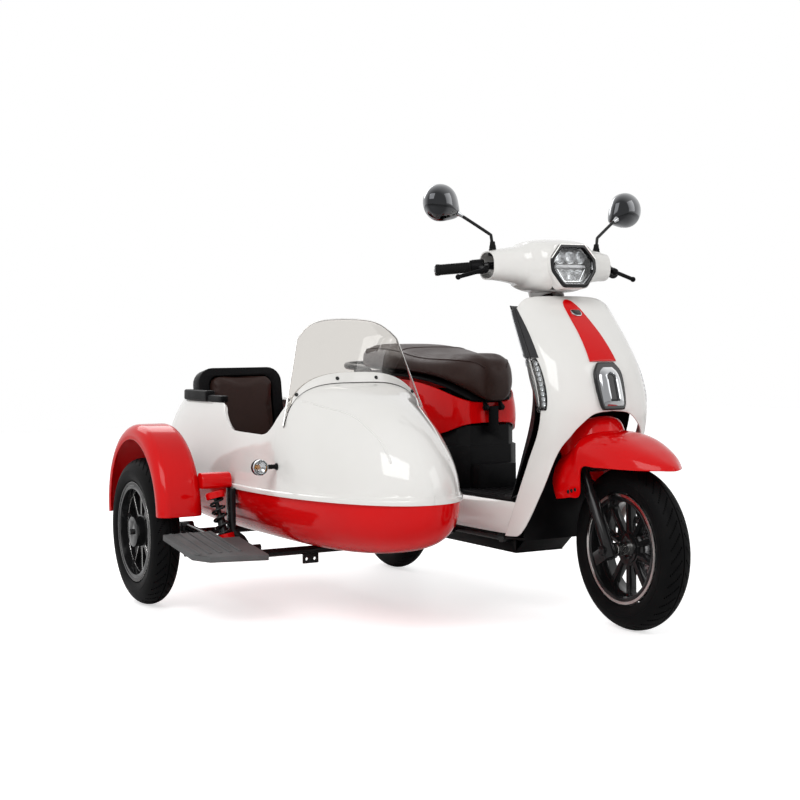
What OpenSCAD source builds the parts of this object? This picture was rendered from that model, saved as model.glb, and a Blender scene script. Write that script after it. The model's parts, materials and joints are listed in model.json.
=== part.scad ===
// Electric scooter with a passenger sidecar on the rider's right.
// Millimetres. +X is forward, +Y is the rider's left, +Z is up, the ground is z = 0.

/* [Wheels] */
// Distance between the scooter's two axles
wheelbase = 1250; // [1180:5:1320]
// Tyre outside diameter
tyre_od = 413; // [400:1:420]
// Tyre section width
tyre_w = 82; // [78:1:86]
// Rim flange diameter
rim_od = 280; // [270:1:286]
// Rim width over its flanges
rim_w = 70; // [64:1:72]
// Spokes in each rim
spoke_count = 10; // [6:1:14]
// Spoke width
spoke_w = 13; // [8:0.5:16]
// Axle diameter
axle_d = 16; // [14:0.5:18]

/* [Steering] */
// Steering axis angle from the vertical
rake = 28; // [26:0.5:29]
// Lead of the front axle over the steering axis
fork_offset = 20; // [12:1:26]
// Half the distance between the fork legs
fork_half = 70; // [68:0.5:72]
// Fork slider diameter
slider_d = 33; // [28:0.5:34]
// Steering stem diameter
stem_d = 32; // [28:0.5:34]
// Half width over the bar ends
bar_half = 297; // [285:1:302]
// Grip diameter
grip_d = 29; // [27:0.5:32]
// Mirror head diameter
mirror_d = 98; // [80:1:100]

/* [Scooter body] */
// Half width of the leg shield
shield_half = 160; // [154:1:166]
// Height of the foot floor
floor_z = 308; // [300:1:312]
// Half width of the rear body
body_half = 152; // [146:1:158]
// Moulded panel thickness
panel_t = 4; // [3:0.5:5]

/* [Sidecar] */
// Distance from the scooter's centre plane to the sidecar wheel
track = 922; // [910:1:940]
// Lead of the sidecar axle over the rear axle
sidecar_lead = 225; // [215:1:235]
// Distance from the scooter's centre plane to the hull's centre plane
hull_y = 505; // [500:1:510]
// Half width of the hull at its belt
hull_half = 238; // [228:1:240]
// Front tip of the hull ahead of the rear axle
hull_nose = 1140; // [1100:2:1160]
// Rear end of the hull behind the rear axle
hull_tail = 215; // [205:1:225]
// Height of the belt where the two hull mouldings meet
belt_z = 335; // [328:1:340]
// Height of the hull's underside
keel_z = 181; // [180:1:186]
// Height of the cowl in front of the passenger
cowl_z = 628; // [610:1:650]
// Height of the windscreen's top edge
screen_z = 794; // [770:2:820]
// Thickness of the hull mouldings
hull_t = 12; // [8:0.5:14]

/* [Fits] */
// Gap between touching mouldings
fit_gap = 0.4; // [0.3:0.05:0.6]
// Radial gap of a shaft that turns in its bore
run_gap = 0.08; // [0.05:0.01:0.1]

/* [Hidden] */
$fn = 64;
tyre_r = tyre_od / 2;
rim_r = rim_od / 2;
bead_r = rim_r - 13;
barrel_r = bead_r - 6;
flange_t = 4;
axle_r = axle_d / 2;
stem_r = stem_d / 2;
slider_r = slider_d / 2;
tan_rake = tan(rake);
flap_x = -268;
flap_h = 156;
flap_tilt = 8;
tail_x = flap_x - flap_h * sin(flap_tilt);
mirror_y = 303;
origin_x = (wheelbase + tyre_r + tail_x) / 2;
left_y = mirror_y + mirror_d / 2;
axle_out = 46;
front_x = wheelbase - 1250;
right_y = -(track + axle_out);
origin_y = (left_y + right_y) / 2;
hull_mid = 520;
frame_z = 165;
rail_y = 210;

// Tables are read by smooth interpolation on their first column.
function seg_of(t, k, i = 0) =
  (i >= len(t) - 2 || k < t[i + 1][0]) ? i : seg_of(t, k, i + 1);
function slope_of(t, i, c) =
  let (a = max(i - 1, 0), b = min(i + 1, len(t) - 1))
  (t[b][c] - t[a][c]) / (t[b][0] - t[a][0]);
function at(t, k, c) =
  let (i = seg_of(t, k), h = t[i + 1][0] - t[i][0])
  let (u = min(max((k - t[i][0]) / h, 0), 1))
  let (m0 = slope_of(t, i, c) * h, m1 = slope_of(t, i + 1, c) * h)
  (2*u*u*u - 3*u*u + 1) * t[i][c] + (u*u*u - 2*u*u + u) * m0
  + (3*u*u - 2*u*u*u) * t[i + 1][c] + (u*u*u - u*u) * m1;
function spow(v, e) = sign(v) * pow(abs(v), e);
function mix(a, b, t) = a + (b - a) * t;
function mean(ps) = [for (c = [0:2]) [for (p = ps) p[c]] * [for (p = ps) 1] / len(ps)];
function axis_x(z) = wheelbase - fork_offset / cos(rake) - (z - tyre_r) * tan_rake;

module place() translate([-origin_x, -origin_y, 0]) children();
module mirrored() {
  children();
  mirror([0, 1, 0]) children();
}
module fork_frame() translate([wheelbase, 0, tyre_r]) rotate([0, -rake, 0]) children();

// Closed body through rings of equal count with flat ends.
module skin(rings, flip = false) {
  n = len(rings[0]);
  m = len(rings);
  pts = concat([for (r = rings) each r], [mean(rings[0]), mean(rings[m - 1])]);
  sides = [for (i = [0:m-2], j = [0:n-1])
    let (a = i*n + j, b = i*n + (j + 1) % n) each [[a, b, b + n], [a, b + n, a + n]]];
  ends = [for (j = [0:n-1]) let (k = (j + 1) % n, e = (m - 1) * n)
    each [[k, j, m*n], [e + j, e + k, m*n + 1]]];
  faces = concat(sides, ends);
  polyhedron(pts, flip ? [for (f = faces) [f[2], f[1], f[0]]] : faces);
}

// Moulded panel between an outer and an inner grid; wrap closes its columns to a loop.
module panel(outer, inner, flip = false, wrap = false) {
  m = len(outer);
  n = len(outer[0]);
  w = wrap ? n - 1 : n - 2;
  o = m * n;
  pts = concat([for (r = outer) each r], [for (r = inner) each r]);
  skins = [for (i = [0:m-2], j = [0:w])
    let (a = i*n + j, b = i*n + (j + 1) % n)
    each [[a, b + n, b], [a, a + n, b + n], [o + a, o + b, o + b + n], [o + a, o + b + n, o + a + n]]];
  rows = [for (j = [0:w]) let (k = (j + 1) % n, e = (m - 1) * n)
    each [[j, k, o + k], [j, o + k, o + j], [e + k, e + j, o + e + j], [e + k, o + e + j, o + e + k]]];
  cols = wrap ? [] : [for (i = [0:m-2]) let (a = i*n, d = a + n, b = a + n - 1, e = d + n - 1)
    each [[d, a, o + a], [d, o + a, o + d], [b, e, o + e], [b, o + e, o + b]]];
  faces = concat(skins, rows, cols);
  polyhedron(pts, flip ? [for (f = faces) [f[2], f[1], f[0]]] : faces);
}

// Round bar between two points.
module rod(p, q, r) {
  v = q - p;
  l = norm(v);
  translate(p) rotate([0, acos(v[2] / l), atan2(v[1], v[0])]) cylinder(r = r, h = l);
}
module along(p, q) {
  v = q - p;
  translate(p) rotate([0, acos(v[2] / norm(v)), atan2(v[1], v[0])]) children();
}
module tube_path(ps, r) {
  for (i = [0:len(ps)-2]) rod(ps[i], ps[i + 1], r);
  for (i = [1:len(ps)-2]) translate(ps[i]) sphere(r = r + 0.8);
}

// Wheels
module tyre() rotate([-90, 0, 0]) rotate_extrude($fn = 72) difference() {
  translate([tyre_r - tyre_w / 2, 0]) circle(d = tyre_w, $fn = 40);
  translate([tyre_r - tyre_w / 2, 0]) circle(d = tyre_w - 18, $fn = 32);
  translate([0, -tyre_w / 2]) square([bead_r + fit_gap, tyre_w]);
  translate([0, -20]) square([tyre_r - tyre_w / 2, 40]);
  for (s = [0, 1]) mirror([0, s]) translate([0, rim_w / 2 - flange_t - fit_gap])
    square([rim_r + fit_gap, tyre_w]);
}
module spokes_flat(inner) difference() {
  circle(r = barrel_r + 1.5);
  for (i = [0:spoke_count-1]) rotate(i * 360 / spoke_count) spoke_window(inner);
}
module spoke_window(inner) {
  half = 180 / spoke_count;
  d = spoke_w / 2 / sin(half);
  reach = barrel_r * 1.4;
  intersection() {
    difference() {
      circle(r = barrel_r - 5);
      circle(r = inner);
    }
    polygon([[d, 0], [d + reach * cos(half), -reach * sin(half)],
      [d + reach * cos(half), reach * sin(half)]]);
  }
}
module rim_barrel() rotate_extrude($fn = 72) polygon([
  [barrel_r, -rim_w / 2], [rim_r, -rim_w / 2], [rim_r, -rim_w / 2 + flange_t],
  [bead_r, -rim_w / 2 + flange_t + 3], [bead_r, rim_w / 2 - flange_t - 3],
  [rim_r, rim_w / 2 - flange_t], [rim_r, rim_w / 2], [barrel_r, rim_w / 2]]);
module spoked_rim(hub_r, hub_l, bore_r, disc_t) rotate([-90, 0, 0]) difference() {
  union() {
    rim_barrel();
    translate([0, 0, -disc_t / 2]) linear_extrude(disc_t) spokes_flat(hub_r + 6);
    translate([0, 0, -hub_l / 2]) cylinder(r = hub_r, h = hub_l);
  }
  translate([0, 0, -60]) cylinder(r = bore_r, h = 120);
}
module at_front() translate([wheelbase, 0, tyre_r]) children();
module at_rear() translate([0, 0, tyre_r]) children();
module at_sidecar() translate([sidecar_lead, -track, tyre_r]) children();

hub_sleeve_r = 17;
module front_tyre() place() color("#222222") at_front() tyre();
module front_rim() place() color("#2b2b2d") at_front() spoked_rim(38, 30, hub_sleeve_r + fit_gap, 22);
module front_hub() place() color("#c9c9cc") at_front() rotate([-90, 0, 0]) difference() {
  translate([0, 0, -(fork_half - slider_r - 1)])
    cylinder(r = hub_sleeve_r, h = 2 * (fork_half - slider_r - 1));
  translate([0, 0, -60]) cylinder(r = axle_r + run_gap, h = 120);
}
disc_y = 38;
module front_disc() place() color("#8f9296") at_front() rotate([-90, 0, 0]) difference() {
  union() {
    translate([0, 0, disc_y]) cylinder(r = 80, h = 4);
    translate([0, 0, 15 + fit_gap]) cylinder(r = 32, h = disc_y - 14);
  }
  translate([0, 0, -1]) cylinder(r = hub_sleeve_r + fit_gap, h = 60);
  for (i = [0:11]) rotate(i * 30) translate([60, 0, disc_y - 1]) cylinder(d = 9, h = 6);
}
module rear_tyre() place() color("#222222") at_rear() tyre();
module rear_rim() place() color("#2b2b2d") at_rear() rotate([-90, 0, 0]) difference() {
  union() {
    rim_barrel();
    translate([0, 0, -12]) cylinder(r = barrel_r + 1.5, h = 24);
    translate([0, 0, -42]) cylinder(r = 96, h = 84);
    translate([0, 0, -50]) cylinder(r = 40, h = 100);
  }
  translate([0, 0, -60]) cylinder(r = axle_r + run_gap, h = 120);
}
module sidecar_tyre() place() color("#222222") at_sidecar() tyre();
module sidecar_rim() place() color("#2b2b2d") at_sidecar() spoked_rim(42, 76, axle_r + run_gap, 26);

// Fork, in the frame of the steering axis with the front axle at its origin
yoke_s = 232;
bar_s = 796;
module fork() place() color("#1d1d1f") fork_frame() {
  mirrored() {
    translate([0, fork_half, -22]) cylinder(d = slider_d, h = 178);
    translate([0, fork_half, 150]) cylinder(d = slider_d - 7, h = yoke_s - 140);
  }
  translate([0, 0, yoke_s]) linear_extrude(24) polygon([[18, -88], [18, 88], [-14, 88],
    [-fork_offset - 30, 28], [-fork_offset - 30, -28], [-14, -88]]);
  translate([-fork_offset, 0, yoke_s + 6]) cylinder(r = stem_r, h = bar_s - yoke_s - 6);
  rotate([-90, 0, 0]) translate([0, 0, -fork_half - 24]) cylinder(r = axle_r, h = 2 * fork_half + 48);
  for (s = [-1, 1]) rotate([-90, 0, 0]) translate([0, 0, s * (fork_half + 19.5) - 4.5])
    cylinder(r = 12.5, h = 9, $fn = 6);
  translate([-62, -fork_half - 4, -18]) cube([56, 8, 34]);
}
module front_caliper() place() color("#3a3b3e") fork_frame() {
  rotate([0, 40, 0]) difference() {
    translate([-102, 31, -24]) cube([42, 34, 48]);
    translate([-96, disc_y - 5, -30]) cube([40, 14, 60]);
  }
  translate([-50, fork_half - 13, 22]) cube([50 - slider_r + 0.4, 8, 30]);
}
fender_table = [ // forward of axle, edge height, crown height, half width
  [-136, 214, 262, 62], [-122, 194, 284, 90], [-90, 180, 302, 103], [-40, 162, 312, 110],
  [5, 150, 312, 112], [40, 206, 304, 110], [90, 186, 284, 105], [150, 154, 240, 91],
  [205, 124, 178, 63], [236, 108, 134, 30], [250, 100, 110, 9]];
function fender_row(a, d) = let (e = at(fender_table, a, 1), c = at(fender_table, a, 2) - d,
  w = at(fender_table, a, 3) - d)
  [for (i = [0:20]) let (t = 180 - i * 9) [a, w * spow(cos(t), 0.72), e + (c - e) * spow(sin(t), 0.72)]];
fender_a = [-136, -130, -122, -108, -90, -65, -40, -16, 5, 16, 28, 40, 65, 90, 120, 150, 180, 205, 222,
  236, 245, 250];
module front_fender() place() color("#d3141b") fork_frame() {
  difference() {
    panel([for (a = fender_a) fender_row(a, 0)], [for (a = fender_a) fender_row(a, 3)], flip = true);
    translate([-fork_offset, 0, 290]) cylinder(r = stem_r + fit_gap, h = 40);
  }
  translate([-fork_offset, 0, 272]) difference() {
    cylinder(r = 88, h = 72);
    translate([0, 0, -1]) cylinder(r = 84, h = 74);
  }
}

// Bars, grips and controls
bar_p = [882 + front_x, 930];
bend_y = 186;
function bar_pt(y) = let (k = max(abs(y) - bend_y, 0)) [bar_p[0] - k * 0.84, y, bar_p[1] - k * 0.08];
module handlebar() place() color("#1d1d1f") {
  mirrored() tube_path([bar_pt(0), bar_pt(bend_y), bar_pt(bar_half - 4)], 10);
  fork_frame() translate([-fork_offset - 24, -25, bar_s]) cube([78, 50, 36]);
}
module grips() place() color("#19191a") mirrored() along(bar_pt(219), bar_pt(bar_half)) difference() {
  l = norm(bar_pt(bar_half) - bar_pt(219));
  union() {
    cylinder(d = grip_d, h = l);
    cylinder(d = grip_d + 8, h = 5);
    translate([0, 0, l - 9]) cylinder(d = grip_d + 4, h = 9);
  }
  translate([0, 0, -1]) cylinder(r = 10 + run_gap, h = l - 4);
}
lever_a = [bar_p[0] + 27, 212, 918];
lever_b = [bar_p[0] + 12, 285, 899];
module controls() place() color("#1b1b1c") mirrored() difference() {
  union() {
    along(bar_pt(194.8), bar_pt(218)) cylinder(d = 39.2, h = norm(bar_pt(218) - bar_pt(194.8)));
    rod(bar_pt(208), lever_a, 9);
    rod(lever_a, lever_b, 5.5);
    translate(lever_a) sphere(r = 9.6);
    translate(lever_b) sphere(r = 7.5);
  }
  along(bar_pt(bend_y), bar_pt(bar_half)) cylinder(r = 10 + run_gap, h = 200);
}

// Headlamp cowl, lofted across the vehicle
cowl_table = [ // side, lead over the bar, centre height, half length, half height
  [0, 21, 930, 108, 72], [52, 20, 930, 105, 70], [92, 15, 932, 82, 60],
  [128, 7, 934, 54, 47], [162, 1, 934, 38, 37], [189, -1, 932, 32, 31]];
function cowl_ring(y, d) =
  let (k = abs(y), x = bar_p[0] + at(cowl_table, k, 1), z = at(cowl_table, k, 2))
  let (a = at(cowl_table, k, 3) - d, b = at(cowl_table, k, 4) - d)
  [for (t = [0:15:345]) [x + a * spow(cos(t), 0.8), y, z + b * spow(sin(t), 0.8)]];
cowl_half = [26, 52, 72, 92, 110, 128, 145, 162, 176, 189];
cowl_y = concat([for (i = [9:-1:0]) -cowl_half[i]], [0], cowl_half);
lamp_c = [bar_p[0] + 124, 926];
module lamp_shape(d) polygon([[-40 - d, 58 + d], [40 + d, 58 + d], [72 + d, 20 + d], [72 + d, -14],
  [38 + d, -58 - d], [-38 - d, -58 - d], [-72 - d, -14], [-72 - d, 20 + d]]);
module lamp_frame() translate([lamp_c[0], 0, lamp_c[1]]) rotate([0, -6, 0])
  rotate([90, 0, 90]) children();
module dash_frame() translate([bar_p[0] - 44, 0, 976]) rotate([0, -38, 0]) children();
module nacelle() place() color("#efede8") difference() {
  union() {
    panel([for (y = cowl_y) cowl_ring(y, 0)],
      [for (y = cowl_y) cowl_ring(y, panel_t)], flip = true, wrap = true);
    fork_frame() translate([-fork_offset, 0, 728]) cylinder(r = 46, h = 44);
  }
  fork_frame() translate([-fork_offset, 0, 700]) cylinder(r = 40, h = 78);
  lamp_frame() translate([0, 0, -60]) linear_extrude(100) lamp_shape(fit_gap);
  dash_frame() translate([-31, -61, -30]) cube([62, 122, 60]);
  mirrored() translate(stalk_p[0] - [0, 0, 8]) cylinder(r = 12 + fit_gap, h = 40);
}
module headlamp_bezel() place() color("#3b3d40") lamp_frame() difference() {
  translate([0, 0, -34]) linear_extrude(40) lamp_shape(0);
  translate([0, 0, -40]) linear_extrude(60) lamp_shape(-9);
}
module headlamp() place() color("#9fa6ab") lamp_frame() translate([0, 0, -30])
  linear_extrude(30) lamp_shape(-9.4);
module dash() place() color("#141516") dash_frame() translate([-30.5, -60.5, -14]) cube([61, 121, 20]);

// Mirrors
mirror_c = [bar_p[0] - 44, mirror_y, 1097];
stalk_p = [[bar_p[0] - 2, 169, 963], [bar_p[0] - 2, 170, 1012]];
module mirror_stalks() place() color("#161617") mirrored() {
  far = mirror_c + (stalk_p[1] - mirror_c) * (mirror_d / 2 - 0.9) / norm(stalk_p[1] - mirror_c);
  translate(stalk_p[0]) cylinder(r1 = 12, r2 = 8, h = 28);
  tube_path([stalk_p[0] + [0, 0, 4], stalk_p[1], far], 4.5);
}
module mirror_profile() polygon(concat([[0, -8], [mirror_d / 2 - 4, -8], [mirror_d / 2 - 4, -11],
  [mirror_d / 2, -11]],
  [for (i = [0:9]) [mirror_d / 2 * cos(i * 10), 32 * sin(i * 10)]]));
module mirror_shells() place() color("#b9bcc0") mirrored() translate(mirror_c) rotate([0, 90, 0])
  rotate_extrude() mirror_profile();
module mirror_glass() place() color("#aab4bb") mirrored() translate(mirror_c) rotate([0, 90, 0])
  translate([0, 0, -10.4]) cylinder(r = mirror_d / 2 - 4.4, h = 2.2);

// Leg shield; u runs from the centre to the edge
shield_table = [ // height, front x, edge x, half width past the named one
  [200, 1120, 915, 8], [222, 1130, 930, 8], [330, 1150, 985, 5], [430, 1160, 1036, 1],
    [490, 1174, 1070, 0],
  [548, 1176, 1086, 0], [600, 1164, 1080, 0], [673, 1137, 1046, -2], [740, 1084, 1004, -5],
  [800, 1018, 965, -9], [828, 984, 948, -13], [850, 956, 932, -22]];
arch_table = [ // share of the half width, lower edge height
  [0, 549], [0.35, 541], [0.58, 512], [0.69, 488], [0.82, 440], [0.91, 330], [0.97, 226], [1, 214]];
crest_table = [[0, 849], [0.5, 848], [0.8, 843], [0.94, 830], [1, 816]]; // share, upper edge height
function shield_w(z) = shield_half + at(shield_table, z, 3);
function shield_edge(z) = front_x + at(shield_table, z, 2);
function shield_pt(u, z, d) = let (e = shield_edge(z), f = front_x + at(shield_table, z, 1) - d)
  [e + (f - e) * pow(max(1 - pow(abs(u), 2.3), 0), 0.4348), (shield_w(z) - d) * u, z];
shield_u = [for (i = [-15:15]) spow(sin(i * 6), 0.9)];
function shield_grid(d) = [for (v = [0:15]) [for (u = shield_u)
  shield_pt(u, mix(at(crest_table, abs(u), 1), at(arch_table, abs(u), 1), v / 15), d)]];
module leg_shield() place() color("#efede8") panel(shield_grid(0), shield_grid(panel_t), flip = true);

// Red tongue on the shield's centre; columns are height and half width
tongue_table = [[676, 40], [740, 33], [800, 25], [822, 20], [834, 13], [839, 4]];
function tongue_grid(d) = [for (k = [0:12]) let (z = mix(676, 839, sin(k * 7.5)),
  w = at(tongue_table, z, 1))
  [for (j = [-3:3]) shield_pt(w * j / 3 / shield_w(z), z, -d) + [0, 0, 0]]];
module shield_stripe() place() color("#d3141b") panel(tongue_grid(4), tongue_grid(fit_gap));
grille_table = [[552, 30], [566, 36], [620, 41], [652, 38], [674, 24]]; // height, half width
function grille_grid(d) = [for (k = [0:8]) let (z = mix(552, 674, k / 8), w = at(grille_table, z, 1))
  [for (j = [-3:3]) shield_pt(w * j / 3 / shield_w(z), z, -d)]];
module shield_grille() place() color("#b9bcc0") panel(grille_grid(12), grille_grid(fit_gap));

// Trim and lamp strips along the shield's edges
function strip_ring(z, b) = let (e = shield_edge(z), w = shield_w(z))
  [[e - 1.9, w - 8, z], [e - 1.9, w, z], [e - b * 0.5, w + 4, z], [e - b, w - 1, z], [e - b, w - 8, z]];
module shield_trims() place() color("#3a3b3d") mirrored()
  skin([for (k = [0:12]) let (z = mix(685.4, 812, k / 12)) strip_ring(z, 30 - 9 * k / 12)], flip = true);
module front_indicators() place() color("#d8dadd") mirrored()
  skin([for (k = [0:12]) let (z = mix(546, 685, k / 12)) strip_ring(z, 14 + 20 * sin(k * 12.5))],
    flip = true);

inner_table = [ // height, centre x
  [312, 842], [440, 878], [500, 900], [560, 922], [600, 934], [656, 938], [727, 920], [826, 838]];
function inner_pt(u, z, d) = let (e = shield_edge(z) - 33.8, c = front_x + at(inner_table, z, 1) - d)
  [c + (e - c) * pow(abs(u), 2.6), u * (shield_w(z) - 10 + d * 0.75), z];
function inner_grid(d) = [for (k = [0:12]) let (z = mix(312, 824, k / 12))
  [for (j = [-8:8]) inner_pt(j / 8, z, d)]];
module inner_shield() place() color("#1c1c1d") panel(inner_grid(panel_t), inner_grid(0), flip = true);

// Scooter frame
rail_half = 96;
down_tube = [[905 + front_x, 0, 440], [850 + front_x, 0, 250], [815 + front_x, 0, 196]];
module frame() place() color("#232326") {
  difference() {
    union() {
      fork_frame() translate([-fork_offset, 0, 420]) cylinder(r = stem_r + 9, h = 180);
      rod([axis_x(650), 0, 650], down_tube[0], 18);
      tube_path(down_tube, 18);
      translate(down_tube[0]) sphere(r = 18.8);
    }
    fork_frame() translate([-fork_offset, 0, 380]) cylinder(r = stem_r + run_gap, h = 260);
  }
  translate(down_tube[2]) rotate([90, 0, 0]) cylinder(r = 16, h = 2 * rail_half + 30, center = true);
  mirrored() tube_path([down_tube[2] + [0, rail_half, 0], [420, rail_half, 196], [330, rail_half, 290],
    [210, rail_half + 5, 470], [-170, rail_half + 5, 540]], 14);
  translate([-166, 0, 539]) rotate([90, 0, 0]) cylinder(r = 12, h = 2 * rail_half + 20, center = true);
}
module floorboard() place() color("#232324") {
  translate([0, 0, floor_z - 12]) linear_extrude(12) polygon(concat([[560, -151.6], [560, 151.6]],
    [for (p = [[900, 151.6], [936, 120], [936, 20], [842, 20], [842, -20], [936, -20], [936, -120],
      [900, -151.6]])
      p + [front_x, 0]]));
  for (i = [-5:5]) translate([640, i * 24 - 4, floor_z - 1]) cube([170 + front_x, 8, 4]);
}
sill_table = [ // along, bulge
  [880 + front_x, 8], [820 + front_x, 14], [700, 18], [560, 18], [430, 14], [340, 4]];
function sill_ring(x, o) = [[x, 152, floor_z - 6], [x, 158 + o * 0.6, floor_z - 2], [x, 166 + o, 290],
  [x, 168 + o, 262], [x, 166 + o, 232], [x, 160 + o * 0.5, 219], [x, 152, 219]];
function sill_front() = [for (p = sill_ring(0, 0))
  [shield_edge(p[2]) - 1 - fit_gap, p[1] > 160 ? shield_w(p[2]) - 1 : p[1], p[2]]];
module sills() place() color("#efede8") mirrored()
  skin(concat([sill_front()], [for (r = sill_table) sill_ring(r[0], r[1])]), flip = true);
module undertray() place() color("#1a1a1b") {
  translate([front_x, 148, 0]) rotate([90, 0, 0]) linear_extrude(296)
    polygon([[992, 206], [990, 240], [979, 316],
    [975, 316], [986, 240], [986, 212], [900, 206], [900, 202]]);
  translate([front_x, 116, 0]) rotate([90, 0, 0]) linear_extrude(232)
    polygon([[979.5, 312], [977, 330], [955, 430],
    [951, 430], [973, 330], [975.5, 312]]);
  translate([front_x, 77, 0]) rotate([90, 0, 0]) linear_extrude(154)
    polygon([[901, 202], [901, 206], [838, 154], [836, 150]]);
  difference() {
    translate([440, -77, 150]) cube([400 + front_x, 154, floor_z - 162]);
    translate([444, -73, 154]) cube([420 + front_x, 146, 150]);
    translate(down_tube[2]) rotate([90, 0, 0]) cylinder(r = 16 + fit_gap, h = 200, center = true);
  }
}
module battery_pack() place() color("#3d4a55") translate([452, -68, 154]) cube([330, 136, 128]);

// Seat, hinged at its nose
seat_table = [ // along, underside, top, half width
  [-58, 648, 688, 42], [-46, 644, 704, 80], [-5, 641, 719, 116], [70, 639, 724, 138],
    [180, 637, 722, 146],
  [290, 634, 710, 148], [367, 630, 698, 144], [440, 621, 694, 133], [510, 605, 694, 118],
    [562, 584, 694, 98],
  [600, 564, 690, 76], [622, 554, 678, 56], [632, 552, 656, 40]];
function seat_ring(x) = let (b = at(seat_table, x, 1), t = at(seat_table, x, 2), w = at(seat_table, x, 3))
  [for (i = [0:27]) let (g = i * 360 / 28) [x, w * spow(cos(g), 0.62),
    (b + t) / 2 + (t - b) / 2 * spow(sin(g), 0.62)]];
seat_x = [-58, -53, -46, -28, -5, 30, 70, 125, 180, 240, 290, 330, 367, 404, 440, 475, 510, 538, 562,
  582, 600, 613, 622, 629, 632];
module saddle() place() color("#4f3329") skin([for (x = seat_x) seat_ring(x)], flip = true);
pan_x = [-36, -5, 70, 180, 290, 367, 440, 510, 562, 594];
function pan_grid(d) = [for (x = pan_x) [for (j = [-2:2])
  [x, (at(seat_table, x, 3) - 16) * j / 2, at(seat_table, x, 1) - fit_gap - d]]];
hinge_p = [610, 540];
module saddle_pan() place() color("#1c1c1d") {
  panel(pan_grid(0), pan_grid(7), flip = true);
  for (s = [-1, 1]) translate([0, s * 26 + 6, 0]) rotate([90, 0, 0]) linear_extrude(12) difference() {
    union() {
      translate(hinge_p) circle(r = 9);
      polygon([[552, 579], [596, 562], hinge_p + [8, 3], hinge_p + [-6, -6], [602, 556], [590, 559]]);
    }
    translate(hinge_p) circle(r = 4 + run_gap);
  }
}

// Rear body, a loop of panel around the under-seat space
body_front = 600;
body_tail = -272;
body_low_table = [[-272, 572], [-180, 526], [-60, 478], [100, 456], [250, 448], [400, 448], [530, 468],
  [586, 492], [600, 497]];
body_mid = (body_front + body_tail) / 2;
function body_pt(g, v, d) = let (e = cos(g) > 0 ? 0.42 : 0.75)
  let (x = body_mid + ((body_front - body_tail) / 2 - d) * spow(cos(g), e) * (1 - 0.01 * v))
  let (y = (body_half - d) * spow(sin(g), 0.62) * (0.95 + 0.2 * v * (1 - v) - 0.03 * v))
  let (lo = at(body_low_table, x, 1), hi = at(seat_table, max(min(x, 594), -36), 1) - 14)
  [x, y, mix(lo, hi, v)];
function body_grid(d) = [for (v = [0:5]) [for (g = [0:6:354]) body_pt(g, v / 5, d)]];
module rear_body() place() color("#d3141b") {
  panel(body_grid(0), body_grid(panel_t), wrap = true);
}
module lower_body() place() color("#171718") {
  difference() {
    union() {
      translate([0, 0, floor_z]) linear_extrude(430 - floor_z)
        polygon([[346, -126], [510, -126], [563, -105], [591, -70],
        [591, 70], [563, 105], [510, 126], [346, 126]]);
      translate([530, -62, floor_z]) cube([100, 124, 70]);
      translate([0, 0, 429]) linear_extrude(59)
        polygon([[510, -110], [560, -96], [586, -66], [586, 66], [560, 96], [510, 110]]);
    }
    translate([0, 0, floor_z + 4]) linear_extrude(200)
      polygon([[320, -122], [508, -122], [510, -106], [557, -92], [584, -64],
      [584, 64], [557, 92], [510, 106], [508, 122], [320, 122]]);
    translate([490, -58, floor_z + 4]) cube([136, 116, 62]);
  }
  translate([582, -14, 470]) cube([31, 28, 14]);
  translate([604, -14, 470]) cube([10, 28, 72]);
  translate([hinge_p[0], 36, hinge_p[1]]) rotate([90, 0, 0]) cylinder(r = 4, h = 72);
}
rail_table = [ // share of the loop, along, side, height
  [0, 156, -167, 640], [0.1, 120, -168, 652], [0.26, 0, -160, 656], [0.38, -78, -120, 660],
    [0.46, -108, -44, 662],
  [0.54, -108, 44, 662], [0.62, -78, 120, 660], [0.74, 0, 160, 656], [0.9, 120, 168, 652],
    [1, 156, 167, 640]];
function rail_pt(k) = [for (c = [1:3]) at(rail_table, k, c)];
function unit(v) = v / norm(v);
function pipe_ring(a, p, b, r) = let (t = unit(b - a), s = unit(cross(t, [0, 0, 1])), n = cross(s, t))
  [for (i = [0:11]) p + r * cos(i * 30) * s + r * sin(i * 30) * n];
module grab_rail() place() color("#3d3e41") {
  skin([for (i = [0:40]) let (k = i / 40) pipe_ring(rail_pt(max(k - 0.01, 0)), rail_pt(k),
    rail_pt(min(k + 0.01, 1)), 10)]);
  mirrored() translate([60, 135, 625.7]) cube([40, 37, 21]);
}
module storage_bin() place() color("#202021") {
  difference() {
    translate([180, -78, 400]) cube([320, 156, 186]);
    translate([184, -74, 404]) cube([312, 148, 200]);
  }
  mirrored() translate([184, 77, 489.6]) cube([22, 26, 6]);
}
module tail_lamps() place() color("#8e1214") {
  translate([body_tail - 12, -55, 584]) cube([12 + fit_gap, 110, 34]);
  mirrored() {
    translate([-262, 92, 520]) rotate([0, -90, 0]) cylinder(r1 = 22, r2 = 18, h = 26);
    translate([-284, 62 + fit_gap, 514]) cube([5, 20, 12]);
  }
}
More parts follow.
